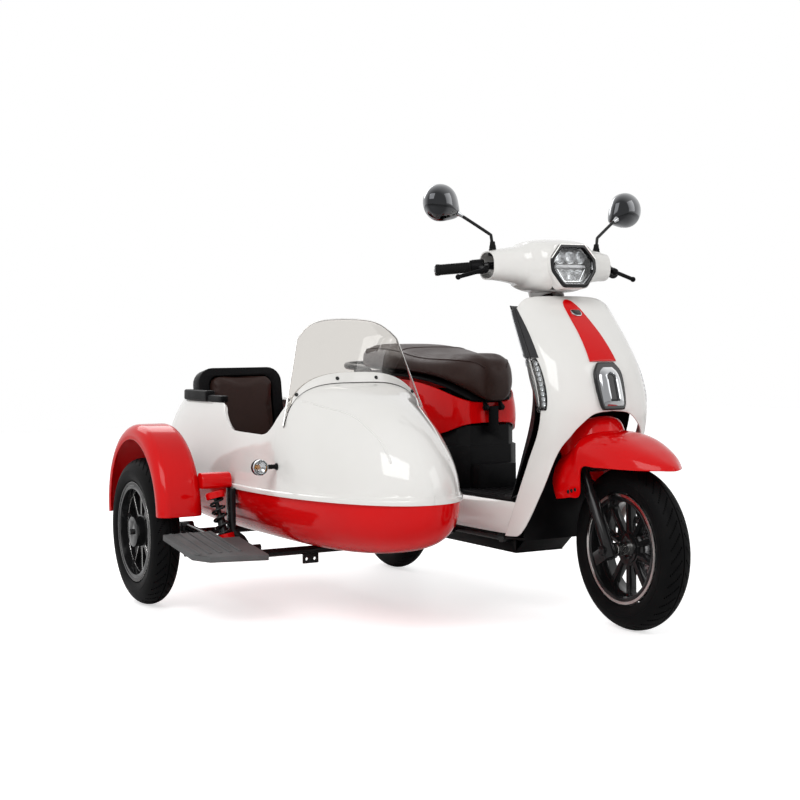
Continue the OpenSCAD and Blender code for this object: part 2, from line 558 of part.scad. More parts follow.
module rear_fender() place() color("#1b1b1c") {
  at_rear() rotate([90, 0, 0]) rotate([0, 0, 30]) rotate_extrude(angle = 138, $fn = 72) difference() {
    translate([tyre_r + 14, -58]) square([12, 116]);
    translate([tyre_r - 1, -54]) square([23, 108]);
  }
  translate([0, 40, 0]) rotate([90, 0, 0]) linear_extrude(80)
    polygon([[-150, 380], [-118, 402.5], [-276, 486],
    [-284, 478]]);
  translate([-172, -15, 365]) cube([12, 30, 161.6]);
  difference() {
    translate([flap_x, 0, 404]) rotate([0, -flap_tilt, 0]) rotate([90, 0, 90]) linear_extrude(6)
      polygon([[-88, 0], [88, 0], [88, 62], [62, 74], [62, flap_h], [-62, flap_h], [-62, 74], [-88, 62]]);
    mirrored() translate([-340, 60, 440]) rotate([0, 90, 0]) cylinder(d = 7, h = 120);
  }
}
arm_pivot = [402, 217];
module swing_arm() place() color("#2a2a2c") {
  translate([arm_pivot[0], 0, arm_pivot[1]]) rotate([90, 0, 0])
    cylinder(r = 16, h = 2 * (rail_half - 14.4), center = true);
  mirrored() {
    rod([arm_pivot[0], 68, arm_pivot[1]], [0, 68, tyre_r], 13);
    translate([0, 68, tyre_r]) sphere(r = 15);
  }
  at_rear() rotate([90, 0, 0]) cylinder(r = axle_r, h = 176, center = true);
}

// Dampers and springs: foot, head
shock_list = [[[70, 72, 226.1], [112, 86, 470]], [[70, -72, 226.1], [112, -86, 470]],
  [[492, -786, 199], [462, -806, 328]]];
module dampers() place() color("#26272a") for (s = shock_list) along(s[0], s[1]) {
  l = norm(s[1] - s[0]);
  cylinder(r = 11, h = l * 0.5);
  cylinder(r = 6, h = l);
  cylinder(r = 24, h = 9);
  translate([0, 0, l - 9]) cylinder(r = 24, h = 9);
}
function coil_ring(a, r, w, h) = let (c = [r * cos(a), r * sin(a), h], u = [cos(a), sin(a), 0])
  [for (i = [0:5]) c + w * cos(i * 60) * u + [0, 0, w * sin(i * 60)]];
module coil(l, turns, r, w) skin([for (i = [0:turns*10])
  coil_ring(i * 36, r, w, mix(9 + w + fit_gap, l - 9 - w - fit_gap, i / turns / 10))]);
module coil_springs() place() color("#242426") for (s = shock_list) along(s[0], s[1])
  coil(norm(s[1] - s[0]), norm(s[1] - s[0]) > 180 ? 8 : 5, 19, 4);

// Sidecar hull
hull_power = [ // along, section roundness
  [-200, 2.3], [400, 2.2], [610, 2.7], [715, 3.5], [850, 2.25], [1160, 2]];
function ovl(k, p) = pow(max(1 - pow(max(k, 0), p), 0), 1 / p);
function hull_share(x) = x > hull_mid ? (x - hull_mid) / (hull_nose - hull_mid)
  : (hull_mid - x) / (hull_mid + hull_tail);
function hull_w(x) = hull_half * ovl(hull_share(x), x > hull_mid ? 2.05 : 8);
crown_x = 690;
nose_rise = 26;
function hull_crown(x) = belt_z + nose_rise + (cowl_z - belt_z - nose_rise)
  * (x > crown_x ? ovl((x - crown_x) / (hull_nose - crown_x), 1.75) : 1);
function hull_depth(x) = (belt_z - keel_z) * ovl(hull_share(x), x > hull_mid ? 3.2 : 5);
function hull_z(x, y, d) = let (n = at(hull_power, x, 1), w = hull_w(x) - d)
  belt_z + (hull_crown(x) - d - belt_z) * pow(max(1 - pow(min(abs(y) / w, 1), n), 0), 1 / n);
hull_x = concat([for (i = [0:11]) hull_mid - (hull_mid + hull_tail) * pow(cos(i * 90 / 11), 0.5)],
  [for (i = [1:12]) hull_mid + (hull_nose - hull_mid) * sin(i * 7.5)]);
function upper_row(x, d) = let (n = at(hull_power, x, 1), w = max(hull_w(x) - d, 0.2),
  k = min(w / 40, 1), c = hull_crown(x) - d)
  concat(d > 0 ? [[x, -w, belt_z + fit_gap], [x, -w, belt_z + 12], [x, -w, belt_z + 20]]
      : [[x, -w - 7*k, belt_z + fit_gap], [x, -w - 7*k, belt_z + 14], [x, -w - k, belt_z + 20]],
    [for (i = [1:17]) let (t = 180 - i * 10) [x, w * spow(cos(t), 2 / n),
      max(belt_z + (c - belt_z) * spow(sin(t), 2 / n), belt_z + 21)]],
    d > 0 ? [[x, w, belt_z + 20], [x, w, belt_z + 12], [x, w, belt_z + fit_gap]]
      : [[x, w + k, belt_z + 20], [x, w + 7*k, belt_z + 14], [x, w + 7*k, belt_z + fit_gap]]);
function lower_row(x, d) = let (w = max(hull_w(x) - d, 0.2), h = max(hull_depth(x) - d, 0.5))
  [for (i = [0:18]) let (t = 180 + i * 10) [x, w * spow(cos(t), 0.86), belt_z + h * spow(sin(t), 0.86)]];
function ends_in(x, d) = x < hull_mid ? mix(x, hull_mid, d / (hull_mid + hull_tail)) : mix(x, hull_mid,
  d / (hull_nose - hull_mid));
module hull_place() translate([0, -hull_y, 0]) children();
module hull_lower() place() color("#d3141b") hull_place()
  panel([for (x = hull_x) lower_row(x, 0)], [for (x = hull_x) lower_row(ends_in(x, hull_t),
    hull_t * 0.6)]);
edge_pts = [ // cockpit edge: along, height
  [-400, 560], [198, 560], [245, 539], [333, 503], [390, 490], [604, 489], [640, 496], [672, 518],
    [702, 566], [711, 600],
  [712, 680]];
module hull_upper() place() color("#efede8") hull_place() difference() {
  panel([for (x = hull_x) upper_row(x, 0)], [for (x = hull_x) upper_row(ends_in(x, hull_t), hull_t)],
    flip = true);
  translate([0, 400, 0]) rotate([90, 0, 0]) linear_extrude(800)
    polygon(concat(edge_pts, [[712, 1000], [-400, 1000]]));
}
screen_foot = [741, 624]; // along and height of the glass at its middle
screen_lean = 0.42;
screen_top_half = 147;
function screen_half(z) = screen_top_half + (screen_z - 46 - z) * 0.29;
function screen_sweep(z) = max(6, 24 + (657 - z) * 0.2);
function screen_at(u, z, d) =
  [screen_foot[0] - (z - screen_foot[1]) * screen_lean - screen_sweep(z) * u * u - d,
    u * screen_half(z), z];
// Height at which the glass meets the cowl, found in a few steps
function screen_base(u, d, z = 600, n = 6) =
  n == 0 ? z : let (p = screen_at(u, z, d)) screen_base(u, d, mix(z, hull_z(p[0], p[1], 0), 0.7), n - 1);
function screen_top(u) = screen_z - 14 * u * u - 40 * pow(abs(u), 6);
function screen_row(v, d, lift) = [for (j = [-10:10]) let (u = j / 10)
  screen_at(u, mix(screen_base(u, d) + lift, screen_top(u), v), d)];
module windscreen() place() color("#cfdde6", 0.5) hull_place()
  panel([for (v = [0:6]) screen_row(v / 6, 0, 1)], [for (v = [0:6]) screen_row(v / 6, 4, 2)]);
// White flange that carries the glass
flange_h = 27;
flange_gap = 5.2;
flange_wall = 5;
function flange_row(v, d) = [for (j = [-10:10]) let (u = j / 10.6)
  screen_at(u, screen_base(u, d) - 0.75 + v * flange_h * (1 - 0.4 * u * u), d)];
module screen_flange() place() color("#efede8") hull_place()
  panel([for (v = [0:3]) flange_row(v / 3, flange_gap)],
    [for (v = [0:3]) flange_row(v / 3, flange_gap + flange_wall)]);

// Passenger seat
back_tilt = -9;
shell_half = 138;
shell_h = 338;
rim_side = 33;
rim_top = 24;
pad_low = 92;
// Upright outline with rounded upper corners: side, height
function back_shape(w, lo, hi, r) = concat([[-w, lo], [w, lo]],
  [for (t = [0:15:90]) [w - r + r * cos(t), hi - r + r * sin(t)]],
  [for (t = [90:15:180]) [-w + r + r * cos(t), hi - r + r * sin(t)]]);
module back_frame() translate([-62, 0, 318]) rotate([0, back_tilt, 0]) rotate([90, 0, 90]) children();
module seat_shell() place() color("#1d1d1e") hull_place() {
  translate([-70, 3 - shell_half, 316]) cube([390, 2 * shell_half - 6, 10]);
  translate([300, -shell_half, 216]) cube([12, 2 * shell_half, 104]);
  back_frame() difference() {
    translate([0, 0, -14]) linear_extrude(54) polygon(back_shape(shell_half, 0, shell_h, 46));
    linear_extrude(60) polygon(back_shape(shell_half - rim_side, pad_low, shell_h - rim_top, 30));
    translate([0, 0, 10]) linear_extrude(60) square([2 * shell_half + 10, 2 * pad_low + 2], center = true);
  }
}
module sidecar_cushion() place() color("#4f3329") hull_place() translate([-36, -140, 326])
  cube([346, 280, 78]);
module sidecar_backrest() place() color("#4f3329") hull_place() back_frame()
  translate([0, 0, fit_gap]) linear_extrude(58)
  polygon(back_shape(shell_half - rim_side - fit_gap, pad_low + fit_gap, shell_h - rim_top - fit_gap,
    29.6));
module armrest() place() color("#1a1a1b") hull_place() translate([0, 0, 560]) linear_extrude(20)
  polygon(concat([for (x = [-128:28:180]) [x, -hull_side(x, 560) - 2]],
    [for (x = [180:-28:-128]) [x, -hull_side(x, 560) + 21.5]]));

// Sidecar chassis, wheel arm, guard and step
module sidecar_frame() place() color("#202022") {
  hull_place() {
    mirrored() rod([-60, rail_y, frame_z], [575, rail_y, frame_z], 12);
    for (x = [20, 560]) {
      rod([x, -rail_y, frame_z], [x, rail_y, frame_z], 11);
      translate([x - 20, -30, frame_z + 6]) cube([40, 60, keel_z - frame_z - 6.5]);
    }
    difference() {
      translate([557, -84, 128]) cube([6, 46, 34]);
      for (y = [-73, -49]) translate([550, y, 140]) rotate([0, 90, 0]) cylinder(d = 9, h = 20);
    }
  }
  for (x = [460, 560]) rod([x, -hull_y + rail_y, frame_z], [x, -rail_half - 13.7, 190], 12);
  translate([452, 0, 0]) rotate([90, 0, 90]) linear_extrude(30)
    polygon([[-716, 157], [-743, 157], [-743, 196],
    [-767, 214], [-767, 338], [-752, 338], [-752, 226], [-727, 206], [-716, 190]]);
  translate([500, -hull_y - rail_y, 172]) rotate([90, 0, 0]) cylinder(r = 9, h = 61);
  rod([560, -hull_y - rail_y, 182.7], [560, -930, 182.7], 9);
}
module sidecar_arm() place() color("#262628") {
  difference() {
    union() {
      rod([500, -758, 172], [sidecar_lead, -800, tyre_r], 14);
      translate([500, -744, 172]) rotate([90, 0, 0]) cylinder(r = 18, h = 28);
      translate([476, -802, 176]) cube([32, 44, 16]);
    }
    translate([500, -735, 172]) rotate([90, 0, 0]) cylinder(r = 9 + run_gap, h = 50);
  }
  translate([sidecar_lead, -782, tyre_r]) rotate([90, 0, 0]) cylinder(r = 19, h = 36);
  at_sidecar() rotate([90, 0, 0]) translate([0, 0, -(track - 790)])
    cylinder(r = axle_r, h = track - 790 + axle_out);
}
guard_y = -898;
arm_shape = [[0, 344], [6, 338], [36, 338], [42, 344], [42, 366], [34, 378], [20, 382], [6, 380],
  [0, 372]];
guard_half = 62;
guard_r = 242;
module sidecar_fender() place() color("#d3141b") {
  translate([sidecar_lead, guard_y, tyre_r + 60]) rotate([90, 0, 0])
    rotate_extrude(angle = 186, $fn = 72) difference() {
    guard_shape(0);
    guard_shape(3);
  }
  translate([424, -755, 0]) rotate([90, 0, 0]) linear_extrude(85) polygon(arm_shape);
}
module guard_shape(d) {
  r = 30;
  low = guard_r - 42 - d;
  intersection() {
    union() {
      for (k = [-1, 1]) translate([guard_r - r, k * (guard_half - r)]) circle(r = r - d);
      translate([low, -guard_half + d]) square([42 - r + d, 2 * guard_half - 2 * d]);
      translate([low, -guard_half + r]) square([42, 2 * guard_half - 2 * r]);
    }
    translate([low, -guard_half]) square([60, 2 * guard_half]);
  }
}
module step_plate() place() color("#4a4b4d") translate([446, 0, 206]) rotate([0, 7, 0]) {
  linear_extrude(16) polygon([[2, -816], [2, -950], [224, -950],
    [262, -915], [284, -762], [80, -762], [80, -816]]);
  for (i = [0:4]) translate([12, -938 + i * 28, 15]) cube([222, 10, 5]);
}
lamp_x = 716;
lamp_z = 412;
function hull_side(x, z) = let (n = at(hull_power, x, 1))
  hull_w(x) * pow(1 - pow((z - belt_z) / (hull_crown(x) - belt_z), n), 1 / n);
module sidecar_lamp() place() color("#1a1a1b") {
  y = -hull_y - hull_side(lamp_x, lamp_z);
  rod([lamp_x, y - 0.1, lamp_z], [lamp_x, y - 44, lamp_z], 6);
  translate([lamp_x - 12, y - 50, lamp_z]) rotate([0, 90, 0]) cylinder(r = 21, h = 28);
}

frame();
leg_shield();
shield_stripe();
shield_grille();
shield_trims();
front_indicators();
inner_shield();
floorboard();
sills();
undertray();
battery_pack();
lower_body();
rear_body();
storage_bin();
grab_rail();
tail_lamps();
rear_fender();
swing_arm();
dampers();
coil_springs();
saddle();
saddle_pan();
fork();
front_fender();
front_caliper();
handlebar();
grips();
controls();
nacelle();
headlamp_bezel();
headlamp();
dash();
mirror_stalks();
mirror_shells();
mirror_glass();
front_tyre();
front_rim();
front_hub();
front_disc();
rear_tyre();
rear_rim();
sidecar_tyre();
sidecar_rim();
sidecar_frame();
sidecar_arm();
hull_lower();
hull_upper();
windscreen();
screen_flange();
seat_shell();
sidecar_cushion();
sidecar_backrest();
armrest();
sidecar_fender();
step_plate();
sidecar_lamp();
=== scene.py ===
# red and white electric scooter with a passenger sidecar
import json
import math

import bmesh
import bpy
from mathutils import Matrix, Vector
from mathutils.bvhtree import BVHTree


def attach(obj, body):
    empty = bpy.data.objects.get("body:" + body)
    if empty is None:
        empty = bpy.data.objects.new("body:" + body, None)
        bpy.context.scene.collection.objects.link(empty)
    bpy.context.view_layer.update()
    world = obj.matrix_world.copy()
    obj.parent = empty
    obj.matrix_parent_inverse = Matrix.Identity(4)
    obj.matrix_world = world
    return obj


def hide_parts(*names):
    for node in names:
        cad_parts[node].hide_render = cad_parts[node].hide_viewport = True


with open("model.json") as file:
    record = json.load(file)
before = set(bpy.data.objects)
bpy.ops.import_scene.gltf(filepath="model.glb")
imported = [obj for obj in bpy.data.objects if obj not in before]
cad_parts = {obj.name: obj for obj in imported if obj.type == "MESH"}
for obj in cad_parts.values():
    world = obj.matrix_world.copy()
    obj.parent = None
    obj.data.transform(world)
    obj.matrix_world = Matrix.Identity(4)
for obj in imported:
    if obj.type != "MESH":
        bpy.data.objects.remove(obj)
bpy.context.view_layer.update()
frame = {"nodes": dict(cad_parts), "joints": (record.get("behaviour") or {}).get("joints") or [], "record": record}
scene = bpy.context.scene
nodes = frame["nodes"]
bodyOf = {n: b for b, names in frame["record"]["behaviour"]["bodies"].items() for n in names}
slotOf = {p["node"]: p["material_slot"] for p in frame["record"]["subparts"]}
joints = {j["name"]: j for j in frame["joints"]}
rearAxle = Vector(joints["rear_spin"]["pos_m"])
frontAxle = Vector(joints["front_spin"]["pos_m"])
sideAxle = Vector(joints["sidecar_spin"]["pos_m"])
steerAxis = Vector(joints["steering_turn"]["axis"])
rake = math.atan2(-steerAxis.x, steerAxis.z)
forkFrame = Matrix.Translation(frontAxle) @ Matrix.Rotation(-rake, 4, "Y")
print("frame loaded:", len(nodes), "nodes")


def spot(x, y, z):  # millimetres, from the ground under the rear axle
    return Vector((rearAxle.x + x / 1000, rearAxle.y + y / 1000, z / 1000))


# shared shader groups

def startGroup(name, inputs, outputs):
    tree = bpy.data.node_groups.new(name, "ShaderNodeTree")
    for label, kind, value in inputs:
        socket = tree.interface.new_socket(name=label, in_out="INPUT", socket_type=kind)
        socket.default_value = value
    for label, kind in outputs:
        tree.interface.new_socket(name=label, in_out="OUTPUT", socket_type=kind)
    return tree, tree.nodes.new("NodeGroupInput"), tree.nodes.new("NodeGroupOutput")


def addNode(tree, kind, inputs=None, **settings):
    node = tree.nodes.new(kind)
    for key, value in settings.items():
        setattr(node, key, value)
    for key, value in (inputs or {}).items():
        if isinstance(value, bpy.types.NodeSocket):
            tree.links.new(value, node.inputs[key])
        else:
            node.inputs[key].default_value = value
    return node


def objectPoint(tree):
    return addNode(tree, "ShaderNodeTexCoord").outputs["Object"]


def noiseAt(tree, point, scale, detail=3.0):
    return addNode(tree, "ShaderNodeTexNoise", {"Vector": point, "Scale": scale, "Detail": detail}).outputs["Fac"]


def remap(tree, value, low, high, toLow, toHigh):
    node = addNode(tree, "ShaderNodeMapRange", {"Value": value, 1: low, 2: high, 3: toLow, 4: toHigh})
    return node.outputs["Result"]


def mixColor(tree, fac, a, b, blend="MIX"):
    node = tree.nodes.new("ShaderNodeMix")
    node.data_type = "RGBA"
    node.blend_type = blend
    for key, value in ((0, fac), (6, a), (7, b)):
        if isinstance(value, bpy.types.NodeSocket):
            tree.links.new(value, node.inputs[key])
        else:
            node.inputs[key].default_value = value
    return node.outputs[2]


def mathNode(tree, operation, a, b=0.0):
    return addNode(tree, "ShaderNodeMath", {0: a, 1: b}, operation=operation).outputs[0]


def makePaintGroup():  # lacquer: slow tone drift, faint orange peel, dust on top
    tree, start, end = startGroup("lacquer", [
        ("Paint", "NodeSocketColor", (0.8, 0.8, 0.8, 1)), ("Shade", "NodeSocketColor", (0.7, 0.7, 0.7, 1)),
        ("Gloss", "NodeSocketFloat", 0.12)],
        [("Color", "NodeSocketColor"), ("Roughness", "NodeSocketFloat"), ("Height", "NodeSocketFloat")])
    point = objectPoint(tree)
    drift = remap(tree, noiseAt(tree, point, 5.0), 0.35, 0.75, 0.0, 0.6)
    color = mixColor(tree, drift, start.outputs["Paint"], start.outputs["Shade"])
    haze = remap(tree, noiseAt(tree, point, 38.0, 5.0), 0.5, 0.8, 0.0, 0.08)
    tree.links.new(color, end.inputs["Color"])
    tree.links.new(mathNode(tree, "ADD", start.outputs["Gloss"], haze), end.inputs["Roughness"])
    tree.links.new(noiseAt(tree, point, 420.0, 1.0), end.inputs["Height"])
    return tree


def makeGrainGroup():  # spark-eroded mould grain for plastics and rubber
    tree, start, end = startGroup("mouldGrain", [
        ("Tint", "NodeSocketColor", (0.03, 0.03, 0.03, 1)), ("Worn", "NodeSocketColor", (0.06, 0.06, 0.06, 1)),
        ("Scale", "NodeSocketFloat", 900.0), ("Gloss", "NodeSocketFloat", 0.45)],
        [("Color", "NodeSocketColor"), ("Roughness", "NodeSocketFloat"), ("Height", "NodeSocketFloat")])
    point = objectPoint(tree)
    cells = addNode(tree, "ShaderNodeTexVoronoi", {"Vector": point, "Scale": start.outputs["Scale"]})
    patches = noiseAt(tree, point, 14.0, 6.0)
    color = mixColor(tree, remap(tree, patches, 0.48, 0.8, 0.0, 0.7), start.outputs["Tint"], start.outputs["Worn"])
    spread = remap(tree, patches, 0.3, 0.8, -0.06, 0.1)
    tree.links.new(color, end.inputs["Color"])
    tree.links.new(mathNode(tree, "ADD", start.outputs["Gloss"], spread), end.inputs["Roughness"])
    tree.links.new(cells.outputs["Distance"], end.inputs["Height"])
    return tree


def makeHideGroup():  # leather pebble with pores
    tree, start, end = startGroup("hideGrain", [
        ("Hide", "NodeSocketColor", (0.06, 0.02, 0.015, 1)), ("Crease", "NodeSocketColor", (0.02, 0.01, 0.008, 1)),
        ("Scale", "NodeSocketFloat", 420.0)],
        [("Color", "NodeSocketColor"), ("Roughness", "NodeSocketFloat"), ("Height", "NodeSocketFloat")])
    point = objectPoint(tree)
    warp = addNode(tree, "ShaderNodeTexNoise", {"Vector": point, "Scale": 120.0, "Detail": 2.0})
    sway = addNode(tree, "ShaderNodeVectorMath", {0: warp.outputs["Color"], "Scale": 0.004}, operation="SCALE")
    moved = addNode(tree, "ShaderNodeVectorMath", {0: point, 1: sway.outputs[0]}, operation="ADD")
    cells = addNode(tree, "ShaderNodeTexVoronoi", {"Vector": moved.outputs[0], "Scale": start.outputs["Scale"]},
                    feature="DISTANCE_TO_EDGE")
    pebble = remap(tree, cells.outputs["Distance"], 0.0, 0.22, 0.0, 1.0)
    patches = noiseAt(tree, point, 9.0, 5.0)
    color = mixColor(tree, pebble, start.outputs["Crease"], start.outputs["Hide"])
    color = mixColor(tree, remap(tree, patches, 0.45, 0.75, 0.0, 0.45), color, start.outputs["Crease"])
    tree.links.new(color, end.inputs["Color"])
    tree.links.new(remap(tree, patches, 0.3, 0.8, 0.36, 0.55), end.inputs["Roughness"])
    tree.links.new(pebble, end.inputs["Height"])
    return tree


def makeMetalGroup():  # polished or brushed metal with fine scratches
    tree, start, end = startGroup("metalWear", [
        ("Metal", "NodeSocketColor", (0.8, 0.8, 0.8, 1)), ("Tarnish", "NodeSocketColor", (0.6, 0.6, 0.6, 1)),
        ("Gloss", "NodeSocketFloat", 0.08), ("Stretch", "NodeSocketVector", (60.0, 900.0, 60.0))],
        [("Color", "NodeSocketColor"), ("Roughness", "NodeSocketFloat"), ("Height", "NodeSocketFloat")])
    point = objectPoint(tree)
    long = addNode(tree, "ShaderNodeVectorMath", {0: point, 1: start.outputs["Stretch"]}, operation="MULTIPLY")
    scratch = noiseAt(tree, long.outputs[0], 1.0, 4.0)
    patches = noiseAt(tree, point, 22.0, 4.0)
    color = mixColor(tree, remap(tree, patches, 0.45, 0.8, 0.0, 0.6), start.outputs["Metal"], start.outputs["Tarnish"])
    tree.links.new(color, end.inputs["Color"])
    rough = mathNode(tree, "ADD", start.outputs["Gloss"], remap(tree, scratch, 0.4, 0.8, 0.0, 0.1))
    tree.links.new(rough, end.inputs["Roughness"])
    tree.links.new(scratch, end.inputs["Height"])
    return tree


groups = {"lacquer": makePaintGroup(), "grain": makeGrainGroup(), "hide": makeHideGroup(), "metal": makeMetalGroup()}


def finishMaterial(name, group, inputs, bump, shaderValues=None):
    mat = bpy.data.materials.new(name)
    mat.use_nodes = True
    tree = mat.node_tree
    shader = tree.nodes["Principled BSDF"]
    for key, value in (shaderValues or {}).items():
        shader.inputs[key].default_value = value
    surface = addNode(tree, "ShaderNodeGroup", node_tree=groups[group])
    for key, value in inputs.items():
        surface.inputs[key].default_value = value
    tree.links.new(surface.outputs["Color"], shader.inputs["Base Color"])
    tree.links.new(surface.outputs["Roughness"], shader.inputs["Roughness"])
    bumpNode = addNode(tree, "ShaderNodeBump", {"Strength": bump[0], "Distance": bump[1],
                                                "Height": surface.outputs["Height"]})
    tree.links.new(bumpNode.outputs["Normal"], shader.inputs["Normal"])
    return mat


def lacquer(name, paint, deeper, gloss=0.1, coat=0.4, shine=0.12):
    return finishMaterial(name, "lacquer", {"Paint": (*paint, 1), "Shade": (*deeper, 1), "Gloss": gloss},
                          (0.02, 0.0004), {"Coat Weight": coat, "Coat Roughness": 0.03, "Coat IOR": 1.5,
                                           "Specular IOR Level": shine})


def plastic(name, tint, worn, scale=900.0, gloss=0.45, bump=0.25):
    return finishMaterial(name, "grain", {"Tint": (*tint, 1), "Worn": (*worn, 1), "Scale": scale, "Gloss": gloss},
                          (bump, 0.0004), {"Specular IOR Level": 0.045})


def metal(name, tint, tarnish, gloss=0.08, stretch=(60.0, 900.0, 60.0), bump=0.03, faceOnPaintedReflection=None):
    mat = finishMaterial(name, "metal", {"Metal": (*tint, 1), "Tarnish": (*tarnish, 1), "Gloss": gloss,
                                         "Stretch": stretch}, (bump, 0.0003), {"Metallic": 1.0})
    if faceOnPaintedReflection:  # painted reflection: face on, the plating's colour is darkened as if it mirrored a dim room; at its edge it keeps its own colour
        tree = mat.node_tree
        into = tree.nodes["Principled BSDF"].inputs["Base Color"]
        facing = addNode(tree, "ShaderNodeLayerWeight", {"Blend": 0.5}).outputs["Facing"]
        paintedReflectionEdge = remap(tree, facing, 0.12, 0.6, 0.0, 1.0)
        tree.links.new(mixColor(tree, paintedReflectionEdge, (*faceOnPaintedReflection, 1), into.links[0].from_socket), into)
    return mat


def clearLens(name, tint, rough=0.03, ior=1.45):
    mat = bpy.data.materials.new(name)
    mat.use_nodes = True
    tree = mat.node_tree
    shader = tree.nodes["Principled BSDF"]
    shader.inputs["Base Color"].default_value = (*tint, 1)
    shader.inputs["Transmission Weight"].default_value = 1.0
    shader.inputs["IOR"].default_value = ior
    haze = noiseAt(tree, objectPoint(tree), 30.0, 5.0)
    tree.links.new(remap(tree, haze, 0.45, 0.85, rough, rough + 0.06), shader.inputs["Roughness"])
    return mat


mats = {
    "pearlWhite": lacquer("pearlWhite", (0.83, 0.82, 0.795), (0.785, 0.772, 0.74), 0.14, 0.7),
    "gloryRed": lacquer("gloryRed", (0.68, 0.002, 0.003), (0.57, 0.0015, 0.0025), 0.14, 0.28, 0.06),
    "glossBlack": lacquer("glossBlack", (0.007, 0.007, 0.0075), (0.012, 0.012, 0.0125), 0.12),
    "blackPlastic": plastic("blackPlastic", (0.0055, 0.0055, 0.006), (0.012, 0.012, 0.0125), 900.0, 0.38),
    "greyPlastic": plastic("greyPlastic", (0.125, 0.125, 0.126), (0.165, 0.165, 0.166), 800.0, 0.5),
    "charcoalTrim": plastic("charcoalTrim", (0.045, 0.045, 0.047), (0.06, 0.06, 0.062), 1500.0, 0.34, 0.12),
    "tyreRubber": plastic("tyreRubber", (0.0042, 0.0042, 0.0045), (0.009, 0.0088, 0.0086), 420.0, 0.5, 0.3),
    "gripRubber": plastic("gripRubber", (0.011, 0.011, 0.011), (0.02, 0.02, 0.02), 700.0, 0.6, 0.35),
    "blackSteel": lacquer("blackSteel", (0.007, 0.007, 0.0075), (0.012, 0.012, 0.0125), 0.24, 0.2),
    # chrome and dark chrome end with the colour of a painted reflection of a dim room, shown where the plating faces
    # the viewer
    "chrome": metal("chrome", (0.86, 0.87, 0.88), (0.74, 0.75, 0.77), 0.035, (40.0, 40.0, 40.0), 0.01,
                    (0.3, 0.305, 0.315)),
    "darkChrome": metal("darkChrome", (0.34, 0.345, 0.355), (0.2, 0.203, 0.21), 0.04, (40.0, 40.0, 40.0), 0.01,
                        (0.035, 0.036, 0.038)),
    "machinedAlloy": metal("machinedAlloy", (0.74, 0.73, 0.71), (0.6, 0.59, 0.57), 0.16, (30.0, 1200.0, 30.0)),
    "discSteel": metal("discSteel", (0.5, 0.5, 0.51), (0.36, 0.35, 0.34), 0.22, (300.0, 60.0, 300.0), 0.08),
    "greyAlloy": metal("greyAlloy", (0.3, 0.3, 0.31), (0.2, 0.2, 0.2), 0.32, (200.0, 200.0, 200.0), 0.1),
    "mirrorSilver": metal("mirrorSilver", (0.9, 0.91, 0.92), (0.86, 0.87, 0.88), 0.01, (20.0, 20.0, 20.0), 0.0),
    "brownHide": finishMaterial("brownHide", "hide", {"Hide": (0.033, 0.0135, 0.0098, 1),
                                                      "Crease": (0.017, 0.0068, 0.005, 1), "Scale": 430.0},
                                (0.22, 0.0006), {"Specular IOR Level": 0.2}),
    "screenGlass": clearLens("screenGlass", (0.70, 0.675, 0.64), 0.01),
    "lampGlass": clearLens("lampGlass", (0.97, 0.98, 0.98), 0.01),
    "redLens": clearLens("redLens", (0.55, 0.01, 0.012), 0.05),
    "amberLens": clearLens("amberLens", (0.85, 0.3, 0.03), 0.05),
    "batteryCase": plastic("batteryCase", (0.05, 0.07, 0.09), (0.08, 0.1, 0.12), 600.0, 0.5),
}
print("materials made:", len(mats))


# mesh helpers

def startFrom(node, flat=0.0):  # a merged copy of a CAD node
    bm = bmesh.new()
    bm.from_mesh(nodes[node].data)
    bmesh.ops.remove_doubles(bm, verts=bm.verts[:], dist=0.00002)
    if flat:
        bmesh.ops.dissolve_limit(bm, angle_limit=math.radians(flat), verts=bm.verts[:], edges=bm.edges[:],
                                 use_dissolve_boundaries=False)
    else:
        bmesh.ops.join_triangles(bm, faces=bm.faces[:], angle_face_threshold=math.radians(28),
                                 angle_shape_threshold=math.radians(50))
    return bm


def hardEdges(bm, degrees):
    limit = math.radians(degrees)
    return [e for e in bm.edges if len(e.link_faces) == 2 and e.calc_face_angle(0) > limit]


def softBevel(bm, edges, width, segments=2):
    if not edges:
        return []
    made = bmesh.ops.bevel(bm, geom=edges, offset=width, offset_type="OFFSET", segments=segments, profile=0.5,
                           affect="EDGES", clamp_overlap=True, material=-1)
    return made["faces"]


def shade(bm, degrees=32):
    for f in bm.faces:
        f.smooth = True
    for e in bm.edges:
        e.smooth = len(e.link_faces) != 2 or e.calc_face_angle(0) <= math.radians(degrees)


def addPiece(bm, name, body, matNames, stands=(), smoothAngle=32):
    shade(bm, smoothAngle)
    mesh = bpy.data.meshes.new(name)
    bm.to_mesh(mesh)
    bm.free()
    for key in matNames:
        mesh.materials.append(mats[key])
    obj = bpy.data.objects.new(name, mesh)
    scene.collection.objects.link(obj)
    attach(obj, body)
    if stands:
        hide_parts(*stands)
    return obj


def subdivide(obj, levels):
    mod = obj.modifiers.new("smooth", "SUBSURF")
    mod.levels = levels
    mod.render_levels = levels
    return obj


def readTable(table, key, column=1):  # smooth reading between the rows
    last = len(table) - 1
    i = 0
    while i < last - 1 and key >= table[i + 1][0]:
        i += 1

    def slope(k):
        a, b = max(k - 1, 0), min(k + 1, last)
        return (table[b][column] - table[a][column]) / (table[b][0] - table[a][0])

    span = table[i + 1][0] - table[i][0]
    t = min(max((key - table[i][0]) / span, 0.0), 1.0)
    rise, fall = slope(i) * span, slope(i + 1) * span
    return ((2 * t ** 3 - 3 * t * t + 1) * table[i][column] + (t ** 3 - 2 * t * t + t) * rise
            + (3 * t * t - 2 * t ** 3) * table[i + 1][column] + (t ** 3 - t * t) * fall)


def bent(value, power):  # power that keeps the sign
    return math.copysign(abs(value) ** power, value)


